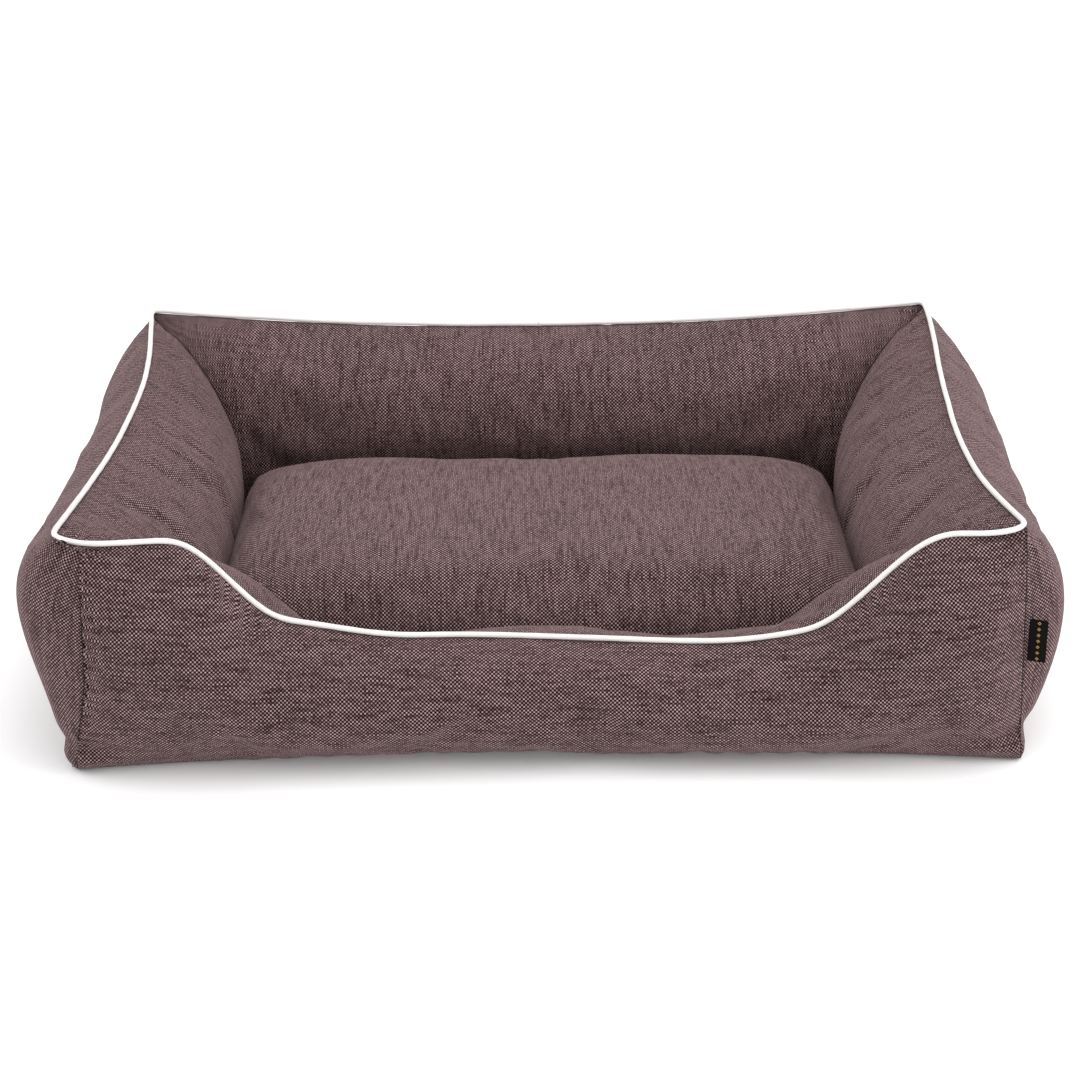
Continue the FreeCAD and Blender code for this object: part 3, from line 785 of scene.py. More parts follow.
def flattened(points: np.ndarray, plan: np.ndarray) -> np.ndarray:
    """Lay a curved grid of cloth flat, as the sheet it was cut from.

    Every link between neighbours, sides and diagonals, pulls its ends towards its real length,
    first on a coarse part of the grid and then on finer ones.

    Args:
        points: the grid's places; each side has a multiple of 8 cells.
        plan: a first guess of the flat grid, in metres.

    Returns:
        The flat grid.
    """
    for level in FLATTEN_LEVELS:
        real, flat = points[::level, ::level], plan[::level, ::level].copy()
        lengths = [np.linalg.norm(real[there] - real[here], axis=-1) for here, there in LINKED]
        for _ in range(FLATTEN_PASSES * level):
            pull = np.zeros_like(flat)
            for (here, there), length in zip(LINKED, lengths):
                span = flat[there] - flat[here]
                now = np.maximum(np.linalg.norm(span, axis=-1), 1e-6)
                share = span * (FLATTEN_PULL * (1 - length / now))[..., None]
                pull[here] += share
                pull[there] -= share
            flat += pull
        moved = flat - plan[::level, ::level]
        while len(moved) < len(points):
            moved = finer(moved)
        plan = plan + moved
    return plan


# ------------------------------------------------------------------ the bed's shape

class Face(Enum):
    """The two faces of a bolster, on either side of its ridge."""

    OUTER = "outer"
    INNER = "inner"


class Grain(Enum):
    """Which way a panel's weft, with its slubs, runs."""

    ALONG = "along"
    UPRIGHT = "upright"


@dataclass(frozen=True)
class Corner:
    """An upright corner seam: how far the side's cloth wraps on to the front or back face.

    The wrap grows from the hem, is full over most of the height and goes back to none just under
    the piping. The foot draws the hem itself in, as cloth gathered at the seam's lower end does.
    """

    wrapped: float
    set_in: float
    foot: float = 0.0
    grown_at: float = 0.45
    gone_within: float = 0.09
    foot_top: float = 0.25

    def wrap(self, climb: np.ndarray) -> np.ndarray:
        """How far the seam stands in from the corner line, across the bed.

        Args:
            climb: from 0 at the hem to 1 at the ridge.

        Returns:
            Distances.
        """
        grown = np.clip(climb / self.grown_at, 0, 1) ** 0.7
        left = np.clip((1 - climb) / self.gone_within, 0, 1) ** 0.6
        gathered = np.clip(1 - climb / self.foot_top, 0, 1) ** 2
        return self.wrapped * grown * left + self.foot * gathered

    def setback(self, climb: np.ndarray) -> np.ndarray:
        """Distance from the corner line in to the seam, from front to back; below 0 is outwards."""
        return self.set_in * np.sin(math.pi * climb) ** 0.8


@dataclass(frozen=True)
class Bolster:
    """One stuffed wall of the ring, from corner to corner.

    A face runs from its hem to the ridge on a straight line that a sine pushes out; its height
    mixes an even rise with a round one. Stations fan out so that the end ones lie in the mitres.
    """

    name: str
    outward: tuple[float, float]
    line: float
    middle: tuple[float, float]
    half: float
    ridge_bow: float
    hem_bow: float
    outer_bulge: float
    inner_bulge: float
    grain: Grain
    seed: int
    corners: tuple[Corner, Corner]
    ridge_height: Callable[[np.ndarray], np.ndarray]
    bow_lean: float = 0.0
    bow_power: float = 2.6
    neck: tuple[float, float] = (6 * MM, 6 * MM)
    tip_round: float = 6.5 * MM
    corner_bulge: float = 109 * MM
    swell: tuple[float, float] = (0.5, 0.5)
    inner_peak: float = 1.0
    outer_peak: float = 1.0
    pocket: float = 6 * MM
    hem_inset: float = -2 * MM
    inner_hem: tuple[float, float] = (62 * MM, 80 * MM)
    hem_height: float = 2.4 * MM
    roundness: float = 0.55
    inner_roundness: float = 0.42
    corner_crease: float = 3 * MM
    crease_width: float = 9 * MM
    foot_crease: float = 6 * MM
    foot_swell: float = 9 * MM
    foot_heights: tuple[float, float] = (13 * MM, 32 * MM)
    foot_width: float = 9 * MM
    foot_reach: float = 45 * MM
    overhang: float = 0.0
    entry_roundness: float = 0.0
    entry: tuple[float, float] = (0.22, 0.52)
    lift: float = 0.0
    lifted: tuple[float, float] = (-0.2, 0.28)
    lift_floor: float = 0.3
    seam_power: int = 14
    tip_reach: float = 7 * MM
    neck_reach: float = 8 * MM
    pocket_reach: float = 13 * MM
    pocket_climb: tuple[float, float] = (0.95, 0.045)

    @property
    def along(self) -> np.ndarray:
        """Direction of the wall's length, a quarter turn on from its outward one."""
        return np.array([-self.outward[1], self.outward[0], 0.0])

    def from_corner(self, turn: np.ndarray) -> np.ndarray:
        """Distance along the wall from the nearer corner line."""
        return (1 - np.abs(np.sin(turn))) * self.half

    def ridge_inward(self, turn: np.ndarray) -> np.ndarray:
        """How far in the ridge stands.

        The bow falls off as a power of the distance from the wall's middle and leans towards one
        end; just behind each tip the ridge necks in, and the tip itself is rounded off.

        Args:
            turn: station angles.

        Returns:
            Distances in from the corner line.
        """
        share = np.sin(turn)
        bow = self.ridge_bow * (1 - np.abs(share) ** self.bow_power) * (1 - self.bow_lean * share)
        away = self.from_corner(turn)
        neck = np.where(turn < 0, self.neck[0], self.neck[1])
        neck = neck * (1 - np.exp(-away / self.neck_reach)) * np.abs(share) ** 6
        return bow + neck + self.tip_round * np.exp(-away / self.tip_reach)

    def place(self, turn: np.ndarray, inward: np.ndarray, height: np.ndarray,
              short: float | np.ndarray = 0.0) -> np.ndarray:
        """Places in the bed's frame: the distance along shrinks with the distance in.

        Args:
            turn: station angles.
            inward: distances in from the corner line.
            height: heights above the floor.
            short: how much sooner than the mitre the wall ends.

        Returns:
            Places, with x, y and z in the last axis.
        """
        run = np.sin(turn) * (self.half - inward - short)
        out = np.array([self.outward[0], self.outward[1], 0.0])
        base = np.array([self.middle[0], self.middle[1], 0.0])
        spots = base + out * (self.line - inward)[..., None] + self.along * run[..., None]
        spots[..., 2] = height
        return spots

    def ridge_points(self, turn: np.ndarray) -> np.ndarray:
        """Find the ridge at some stations.

        Args:
            turn: station angles.

        Returns:
            Places, with x, y and z in the last axis.
        """
        inward = self.ridge_inward(turn)
        run = np.sin(turn) * (self.half - inward)
        return self.place(turn, inward, self.ridge_height(run))

    def surface(self, face: Face, turn: np.ndarray, climb: np.ndarray) -> np.ndarray:
        """Places of one face.

        Args:
            face: outer or inner.
            turn: station angles, of any shape.
            climb: from 0 at the hem to 1 at the ridge, of the same shape.

        Returns:
            Places, with x, y and z in the last axis.
        """
        middle, half = self.entry
        near_entry = np.exp(-((np.sin(turn) - middle) / half) ** 6)
        inner_roundness = self.inner_roundness + self.entry_roundness * near_entry
        rounded = self.roundness if face is Face.OUTER else inner_roundness
        rise = rounded * (1 - np.cos(math.pi * climb)) / 2 + (1 - rounded) * climb
        ridge_in = self.ridge_inward(turn)
        top = self.ridge_height(np.sin(turn) * (self.half - ridge_in))
        height = self.hem_height + (top - self.hem_height) * rise
        if face is Face.INNER:
            return self.inner_places(turn, climb, ridge_in, height, near_entry)
        return self.outer_places(turn, climb, ridge_in, height)

    def inner_places(self, turn: np.ndarray, climb: np.ndarray, ridge_in: np.ndarray,
                     height: np.ndarray, near_entry: np.ndarray) -> np.ndarray:
        """Places of the inner face: it bulges over the well, and hangs over it at the way in.

        Args:
            turn: station angles.
            climb: from 0 at the hem to 1 at the ridge.
            ridge_in: how far in the ridge stands.
            height: heights before the overhang.
            near_entry: 1 at the way in, 0 away from it.

        Returns:
            Places, with x, y and z in the last axis.
        """
        full = np.cos(turn) ** 2
        near_end = self.from_corner(turn)
        low, high = self.inner_hem
        hem = low + (high - low) * full
        reach = self.corner_bulge + (self.inner_bulge - self.corner_bulge) * full
        push = reach - (hem + ridge_in) / 2
        crease = self.corner_crease * np.exp(-near_end / self.crease_width) * np.sin(math.pi * climb)
        arch = np.sin(math.pi * climb ** (1 + (self.inner_peak - 1) * np.sqrt(full)))
        inward = hem + (ridge_in - hem) * climb + push * arch - crease
        height = height + self.overhang * near_entry * climb * arch
        middle, half = self.pocket_climb
        by_tip = np.exp(-near_end / self.pocket_reach) * np.exp(-((climb - middle) / half) ** 2)
        return self.place(turn, inward, height - self.pocket * by_tip)

    def outer_places(self, turn: np.ndarray, climb: np.ndarray, ridge_in: np.ndarray,
                     height: np.ndarray) -> np.ndarray:
        """Places of the outer face, which ends in the two upright corner seams.

        Args:
            turn: station angles.
            climb: from 0 at the hem to 1 at the ridge.
            ridge_in: how far in the ridge stands.
            height: heights before the hem's lift.

        Returns:
            Places, with x, y and z in the last axis.
        """
        full = np.cos(turn) ** 2
        near_end = self.from_corner(turn)
        middle, half = self.lifted
        rolled_up = np.exp(-((np.sin(turn) - middle) / half) ** 4)
        rolled_up = self.lift_floor + (1 - self.lift_floor) * rolled_up
        height = height + self.lift * rolled_up * np.sqrt(full) * (1 - climb) ** 8
        hem = self.hem_inset + self.hem_bow * full
        deepest = (self.hem_bow + self.hem_inset + self.ridge_bow) / 2
        fullness = np.where(turn < 0, self.swell[0], self.swell[1])
        push = -(self.outer_bulge + deepest) * np.cos(turn) ** fullness
        plain = hem + (ridge_in - hem) * climb
        by_seam = (1 - full) ** self.seam_power
        start, end = self.corners
        wrap = np.where(turn < 0, start.wrap(climb), end.wrap(climb))
        setback = np.where(turn < 0, start.setback(climb), end.setback(climb))
        across, endwise = (wrap, setback) if self.outward[1] == 0 else (setback, wrap)
        puffed = push * np.sin(math.pi * climb ** self.outer_peak)
        inward = plain + puffed * (1 - by_seam) + across * by_seam
        low, high = self.foot_heights
        crease = np.exp(-((height - high) / self.foot_width) ** 2)
        foot = np.exp(-((height - low) / self.foot_width) ** 2)
        reach = np.exp(-near_end / self.foot_reach) * np.cos(turn) ** 0.3
        inward = inward + (self.foot_crease * crease - self.foot_swell * foot) * reach
        short = plain + endwise * (1 - full) ** 3 - inward
        return self.place(turn, inward, height, short)


@dataclass(frozen=True)
class RingShape:
    """The ring's four bolsters, worked out from the frame's boxes and a few measures."""

    piping_radius: float = 2.6 * MM
    piping_lift: float = 3.0 * MM
    front_height: float = 237 * MM
    shoulder_dip: float = 11 * MM
    back_height: float = 243 * MM
    side_sag: float = 18 * MM
    back_sag: float = 12 * MM
    entry_height: float = 115 * MM
    entry_lean: float = 5 * MM
    lean_middle: float = 30 * MM
    lean_reach: float = 90 * MM
    tip_span: tuple[float, float] = (400 * MM, 47 * MM)
    ridge_inset: float = 1.8 * MM
    gentle_share: float = 0.3
    left_scoop: tuple[float, float, float, float] = (110 * MM, 330 * MM, 236 * MM, 342 * MM)
    right_scoop: tuple[float, float, float, float] = (154 * MM, 376 * MM, 246 * MM, 380 * MM)

    def front_ridge(self, run: np.ndarray) -> np.ndarray:
        """Height of the front ridge: low and nearly level, then up to a shoulder at each side.

        Each rise is a long gentle smooth step and a short steep one added together, and the
        last stretch lifts once more to the corner's tip.

        Args:
            run: distance along the wall, which for the front is x.

        Returns:
            Heights.
        """
        marks = [np.where(run < 0, left, right)
                 for left, right in zip(self.left_scoop, self.right_scoop)]
        steps = []
        for low, high in (marks[:2], marks[2:]):
            part = np.clip((np.abs(run) - low) / (high - low), 0, 1)
            steps.append(part * part * (3 - 2 * part))
        step = self.gentle_share * steps[0] + (1 - self.gentle_share) * steps[1]
        lean = np.tanh((run - self.lean_middle) / self.lean_reach)
        level = self.entry_height - self.entry_lean * lean
        tip_start, tip_length = self.tip_span
        tip = np.clip((np.abs(run) - tip_start) / tip_length, 0, 1) ** 2
        shoulder = self.front_height - self.shoulder_dip * (1 - tip)
        return level + (shoulder - level) * step

    def back_ridge(self, run: np.ndarray) -> np.ndarray:
        """Height of the back ridge: it sags towards its middle."""
        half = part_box("piping_cover")[1].x
        return self.back_height - self.back_sag * np.clip(1 - (run / half) ** 2, 0, 1)

    def side_ridge(self, to_back: np.ndarray) -> np.ndarray:
        """Height of a side ridge, which sags between its front and back ends.

        Args:
            to_back: how far back, from -1 at the front to 1 at the back.

        Returns:
            Heights.
        """
        mean = (self.front_height + self.back_height) / 2
        rise = (self.back_height - self.front_height) / 2
        return mean + rise * to_back - self.side_sag * (1 - to_back ** 2)

    def bolsters(self) -> dict[str, Bolster]:
        """Make the four bolsters.

        Returns:
            Name to bolster, in sewing order round the ring.
        """
        low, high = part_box("piping_cover")
        corner = high.x - self.ridge_inset
        front_left, front_right = Corner(27 * MM, -24 * MM, 13 * MM), Corner(1 * MM, -5 * MM)
        back_left, back_right = Corner(2 * MM, -22 * MM), Corner(2 * MM, -22 * MM)
        front_line, back_line = -low.y - self.ridge_inset, high.y - self.ridge_inset
        half = (front_line + back_line) / 2
        middle = (back_line - front_line) / 2
        return {
            "front": Bolster(
                name="front", outward=(0, -1), line=front_line, middle=(0, 0), half=corner,
                ridge_bow=33 * MM, hem_bow=22 * MM, outer_bulge=24 * MM, inner_bulge=104.5 * MM,
                grain=Grain.ALONG, seed=11, corners=(front_left, front_right),
                ridge_height=self.front_ridge, swell=(0.4, 0.4), roundness=0.72,
                inner_roundness=0.1, entry_roundness=0.32, overhang=24 * MM, lift=6 * MM,
            ),
            "right": Bolster(
                name="right", outward=(1, 0), line=corner, middle=(0, middle), half=half,
                ridge_bow=24 * MM, hem_bow=12 * MM, outer_bulge=50 * MM, inner_bulge=127 * MM,
                grain=Grain.UPRIGHT, seed=23, corners=(front_right, back_right),
                ridge_height=lambda run: self.side_ridge(run / half), bow_lean=0.55,
                swell=(0.4, 0.5), outer_peak=1.3, neck=(6 * MM, 8 * MM),
            ),
            "back": Bolster(
                name="back", outward=(0, 1), line=back_line, middle=(0, 0), half=corner,
                ridge_bow=36 * MM, hem_bow=18 * MM, outer_bulge=62 * MM, inner_bulge=130 * MM,
                grain=Grain.UPRIGHT, seed=37, corners=(back_right, back_left),
                ridge_height=self.back_ridge, inner_peak=1.65, outer_peak=1.2,
                inner_hem=(62 * MM, 62 * MM), neck=(8 * MM, 8 * MM),
            ),
            "left": Bolster(
                name="left", outward=(-1, 0), line=corner, middle=(0, middle), half=half,
                ridge_bow=24 * MM, hem_bow=12 * MM, outer_bulge=42 * MM, inner_bulge=127 * MM,
                grain=Grain.UPRIGHT, seed=41, corners=(back_left, front_left),
                ridge_height=lambda run: self.side_ridge(-run / half), bow_lean=0.45,
                swell=(0.45, 0.4), outer_peak=1.6, neck=(8 * MM, 6 * MM),
            ),
        }


@dataclass(frozen=True)
class SeamDressing:
    """How cloth behaves near a seam: puckers that start beside it and fade away from it."""

    pucker: float = 1.1 * MM
    pucker_reach: float = 16 * MM
    pucker_pitch: float = 24 * MM
    reach_pitch: float = 90 * MM
    held_within: float = 6 * MM
    fan_depth: float = 2.4 * MM
    fan_reach: float = 34 * MM
    fan_start: float = 14 * MM
    fan_count: float = 15.0
    fan_bend: float = 60 * MM

    def depth(self, away: np.ndarray, along: np.ndarray, seed: int) -> np.ndarray:
        """How far the cloth lies below its smooth shape.

        Args:
            away: distance from the seam.
            along: distance along the seam.
            seed: draws this seam's puckers.

        Returns:
            Depths, which fall off with the distance as exponentials.
        """
        wave = ripple(seed, along, self.pucker_pitch)
        reach = self.pucker_reach * (1 + 0.5 * ripple(seed + 1, along, self.reach_pitch))
        held = np.clip(away / self.held_within, 0, 1)
        return self.pucker * (wave + 0.4) * np.exp(-away / reach) * held

    def fan(self, to_end: np.ndarray, to_ridge: np.ndarray, seed: int) -> np.ndarray:
        """Creases that fan out from a corner's tip.

        Args:
            to_end: distance from the upright corner seam.
            to_ridge: distance from the ridge.
            seed: draws how the creases bend.

        Returns:
            Depths below the smooth shape.
        """
        reach = np.hypot(to_end, to_ridge)
        angle = np.arctan2(to_ridge, to_end)
        wave = np.sin(self.fan_count * angle + 2 * ripple(seed, reach, self.fan_bend))
        start = np.clip(reach / self.fan_start - 0.4, 0, 1)
        return self.fan_depth * wave * start * np.exp(-reach / self.fan_reach)


FIBRE_GAP = 5 * MM
THINNED = slice(3, -3, 3)


@dataclass
class BolsterCover:
    """The two panels and the filling of one bolster."""

    shape: Bolster
    cell: float = 4.2 * MM
    tall: float = 0.27
    cloth: float = 1.2 * MM
    hem_gain: float = 1.8
    uneven: float = 1.6 * MM
    uneven_size: float = 0.16
    fibre_ends: float = 16 * MM
    fibre_foot: float = 9 * MM
    finish: Finish = HopsackCloth()
    stuffing: Stuffing = Stuffing()
    seam: SeamDressing = SeamDressing()

    def stations(self) -> tuple[np.ndarray, np.ndarray]:
        """Lay out the grid, spaced by about one cell, with a multiple of 8 cells to each side.

        Returns:
            The station angles and the climbs.
        """
        rows = int(2 * self.shape.half / self.cell) // 8 * 8 + 1
        columns = int(self.tall / self.cell) // 8 * 8 + 1
        spread = np.linspace(-1, 1, rows)
        turns = (spread * math.pi / 2 + np.arcsin(spread)) / 2
        return np.meshgrid(turns, np.linspace(0, 1, columns), indexing="ij")

    def panel_points(self, face: Face) -> tuple[np.ndarray, np.ndarray]:
        """The finished face: its formula, blown out as cloth, then seams and unevenness.

        Args:
            face: outer or inner.

        Returns:
            The grid of places and the grid of cloth coordinates in metres.
        """
        turn, climb = self.stations()
        smooth = self.shape.surface(face, turn, climb)
        side = 1.0 if face is Face.OUTER else -1.0
        puffed = finer(self.stuffing.press(smooth[::2, ::2][:, ::int(side)]))[:, ::int(side)]
        points = smooth + puffed
        run = lengths_along(points * np.array([1, 1, 0]), 0)
        run = run - run[len(run) // 2][None, :]
        rise = lengths_along(points, 1)
        to_end = np.minimum(run - run[:1], run[-1:] - run)
        to_ridge = rise[:, -1:] - rise
        seed = self.shape.seed + (0 if face is Face.OUTER else 100)
        outwards = -side * grid_normals(points)
        sunk = self.seam.depth(to_ridge, run, seed)
        sunk = sunk + self.hem_gain * self.seam.depth(rise, run, seed + 3)
        sunk = sunk + self.seam.depth(to_end, rise, seed + 7) * np.clip(to_ridge / (12 * MM), 0, 1)
        sunk = sunk + self.seam.fan(to_end, to_ridge, seed + 9)
        sunk = sunk * np.clip(np.minimum(to_end, np.minimum(to_ridge, rise)) / (5 * MM), 0, 1)
        held = np.clip(np.minimum(np.minimum(to_end, to_ridge), rise) / (30 * MM), 0, 1)
        uneven = self.uneven * cloud(seed, points, self.uneven_size) * held
        points = points + outwards * (uneven - sunk)[..., None]
        points[..., 2] = np.maximum(points[..., 2], self.shape.hem_height)
        if face is Face.OUTER:
            weight = np.sin(math.pi * climb) + 0.1
            mean_run = (run * weight).sum(1, keepdims=True) / weight.sum(1, keepdims=True)
            run = np.broadcast_to(mean_run, run.shape)
        cut = flattened(points, np.stack([run, rise], axis=-1))
        return points, cut if self.shape.grain is Grain.ALONG else cut[..., ::-1]

    def panel(self, face: Face) -> np.ndarray:
        """Make one panel.

        Args:
            face: outer or inner.

        Returns:
            The grid of its places.
        """
        node = f"{face.value}_panel_{self.shape.name}"
        points, weave = self.panel_points(face)
        rows, columns = points.shape[:2]
        faces = grid_faces(rows, columns)
        if face is Face.OUTER:
            faces = faces[:, ::-1]
        piece = make_object("cloth_" + node, points.reshape(-1, 3), faces, self.finish,
                            weave.reshape(-1, 2))
        thicken(piece, self.cloth)
        settle(piece, "surround", "hopsack_cloth", node)
        return points

    def filling(self, outer: np.ndarray, inner: np.ndarray) -> None:
        """Make the fibre inside: the two faces shrunk inwards and closed into one tube.

        Args:
            outer: the outer panel's grid.
            inner: the inner panel's grid.
        """
        away = self.shape.from_corner(self.stations()[0][:, 0])
        inside = np.where(away > self.fibre_ends)[0][::2]
        out_grid = (outer + grid_normals(outer) * FIBRE_GAP)[inside][:, THINNED]
        in_grid = (inner - grid_normals(inner) * FIBRE_GAP)[inside][:, THINNED]
        loop = np.concatenate([out_grid, in_grid[:, ::-1]], axis=1)
        loop[..., 2] = np.maximum(loop[..., 2], self.fibre_foot)
        rows, columns = loop.shape[:2]
        ends = np.stack([loop[0].mean(0), loop[-1].mean(0)])
        points = np.concatenate([loop.reshape(-1, 3), ends])
        walls = grid_faces(rows, columns, wrap=True)[:, ::-1]
        ring = np.arange(columns)
        ahead = (ring + 1) % columns
        low = np.stack([np.full(columns, rows * columns), ahead, ring], axis=-1)
        base = (rows - 1) * columns
        high = np.stack([np.full(columns, rows * columns + 1), base + ring, base + ahead], axis=-1)
        mesh = bpy.data.meshes.new("fibre_" + self.shape.name)
        mesh.from_pydata(points.tolist(), [], walls.tolist() + low.tolist() + high.tolist())
        mesh.polygons.foreach_set("use_smooth", np.full(len(mesh.polygons), True))
        mesh.materials.append(FibreFill().build())
        piece = bpy.data.objects.new("fibre_" + self.shape.name, mesh)
        bpy.context.scene.collection.objects.link(piece)
        settle(piece, "surround", "fibre_fill", f"bolster_fill_{self.shape.name}")

    def build(self) -> None:
        """Make the panels and the filling."""
        outer = self.panel(Face.OUTER)
        inner = self.panel(Face.INNER)
        self.filling(outer, inner)


# ------------------------------------------------------------------ tubes along a path

def even_path(points: np.ndarray, step: float) -> np.ndarray:
    """Respace the points of a line evenly along its length.

    Args:
        points: n by 3 places.
        step: about how far apart the new places are.

    Returns:
        The new places, with both ends kept.
    """
    run = run_of(points)
    spots = np.linspace(0, run[-1], max(2, int(run[-1] / step)))
    return np.stack([np.interp(spots, run, points[:, i]) for i in range(3)], axis=-1)


def softened(points: np.ndarray, passes: int) -> np.ndarray:
    """Smooth a line by moving each point towards the mean of its neighbours.

    Args:
        points: n by 3 places.
        passes: how many times every point moves.

    Returns:
        The smoothed places, with both ends kept.
    """
    line = points.copy()
    for _ in range(passes):
        before, after = np.roll(line, 1, axis=0), np.roll(line, -1, axis=0)
        moved = 0.5 * line + 0.25 * (before + after)
        moved[0], moved[-1] = line[0], line[-1]
        line = moved
    return line


def tube_grid(path: np.ndarray, radius: np.ndarray, sides: int,
              up: Sequence[float] = (0, 0, 1)) -> np.ndarray:
    """Rings of points round a path: each ring is a circle square to the path's direction.

    Args:
        path: n by 3 places.
        radius: one radius for each place.
        sides: points in a ring.
        up: the direction that the first point of each ring leans towards.

    Returns:
        A grid of n rings.
    """
    ahead = unit(np.gradient(path, axis=0))
    side = unit(np.cross(ahead, np.array(up, float)))
    top = np.cross(side, ahead)
    angle = np.linspace(0, 2 * math.pi, sides, endpoint=False)
    turn = angle[None, :, None]
    circle = top[:, None] * np.cos(turn) + side[:, None] * np.sin(turn)
    return path[:, None] + circle * np.asarray(radius)[:, None, None]


@dataclass
class Piping:
    """The white piping on the ring's ridge and the cord inside it."""

    ring: RingShape
    walls: dict[str, Bolster]
    step: float = 3 * MM
    sides: int = 14
    half_wall: int = 200
    softening: int = 18
    wobble: float = 0.35 * MM
    still_near_join: float = 40 * MM
    join_spans: tuple[float, float, float] = (0, 10 * MM, 20 * MM)
    join_gains: tuple[float, float, float] = (1.08, 1.08, 1.0)
    core_radius: float = 1.5 * MM

    def route(self) -> np.ndarray:
        """Lay the piping's centre line, from its join at the back's middle right round to it.

        Each wall gives its ridge, and the corners are rounded by smoothing an evenly spaced line.

        Returns:
            Places about one step apart.
        """
        turns = np.linspace(-math.pi / 2, math.pi / 2, 2 * self.half_wall + 1)
        back = self.walls["back"].ridge_points(turns)
        lines = [self.walls[name].ridge_points(turns) for name in ("left", "front", "right")]
        lines = [back[self.half_wall:], *lines, back[:self.half_wall + 1]]
        line = even_path(np.concatenate(lines), self.step)
        line = softened(line, self.softening)
        line[:, 2] += self.ring.piping_lift
        return even_path(line, self.step)

    def build(self) -> None:
        """Make the cover as a tube, a little thicker just after its join, and the cord inside it."""
        route = self.route()
        length = run_of(route)
        waves = [ripple(seed, length, pitch) for seed, pitch in ((5, 0.12), (6, 0.14), (7, 0.1))]
        from_join = np.minimum(length, length[-1] - length)
        free = np.clip(from_join / self.still_near_join, 0, 1)[:, None]
        route += self.wobble * np.stack(waves, -1) * free
        radius = self.ring.piping_radius * (1 + 0.04 * ripple(8, length, 0.03))
        radius = radius * np.interp(length, self.join_spans, self.join_gains)
        self.tube("piping_tube", route, radius, self.sides, PipingCloth(), "piping_cloth",
                  "piping_cover")
        core = np.full(len(route), self.core_radius)
        self.tube("piping_core", route, core, 8, FibreFill(), "cord_core", "piping_cord")

    def tube(self, name: str, route: np.ndarray, radius: np.ndarray, sides: int, finish: Finish,
             slot: str, node: str) -> None:
        """Make one closed tube along the route.

        Args:
            name: the piece's name.
            route: the centre line.
            radius: one radius for each place.
            sides: points in a ring.
            finish: the piece's finish.
            slot: its material slot.
            node: the node that it replaces.
        """
        rings = tube_grid(route, radius, sides)
        count = len(route)
        run = run_of(route)
        turn = np.arange(sides) * (2 * math.pi * self.ring.piping_radius / sides)
        weave = np.stack(np.broadcast_arrays(run[:, None], turn[None, :]), axis=-1).reshape(-1, 2)
        walls = grid_faces(count, sides, wrap=True)
        piece = make_object(name, rings.reshape(-1, 3), walls, finish, weave)
        close_ends(piece, sides, count)
        settle(piece, "surround", slot, node)


def close_ends(piece: bpy.types.Object, sides: int, rings: int) -> None:
    """Close both ends of a tube with one flat face each.

    Args:
        piece: the tube, whose points are counted ring by ring.
        sides: points in a ring.
        rings: number of rings.
    """
    work = bmesh.new()
    work.from_mesh(piece.data)
    work.verts.ensure_lookup_table()
    for start, flip in ((0, False), ((rings - 1) * sides, True)):
        loop = [work.verts[start + i] for i in range(sides)]
        face = work.faces.new(loop[::-1] if flip else loop)
        face.smooth = False
    bmesh.ops.recalc_face_normals(work, faces=work.faces[:])
    work.to_mesh(piece.data)
    work.free()


# ------------------------------------------------------------------ mattress

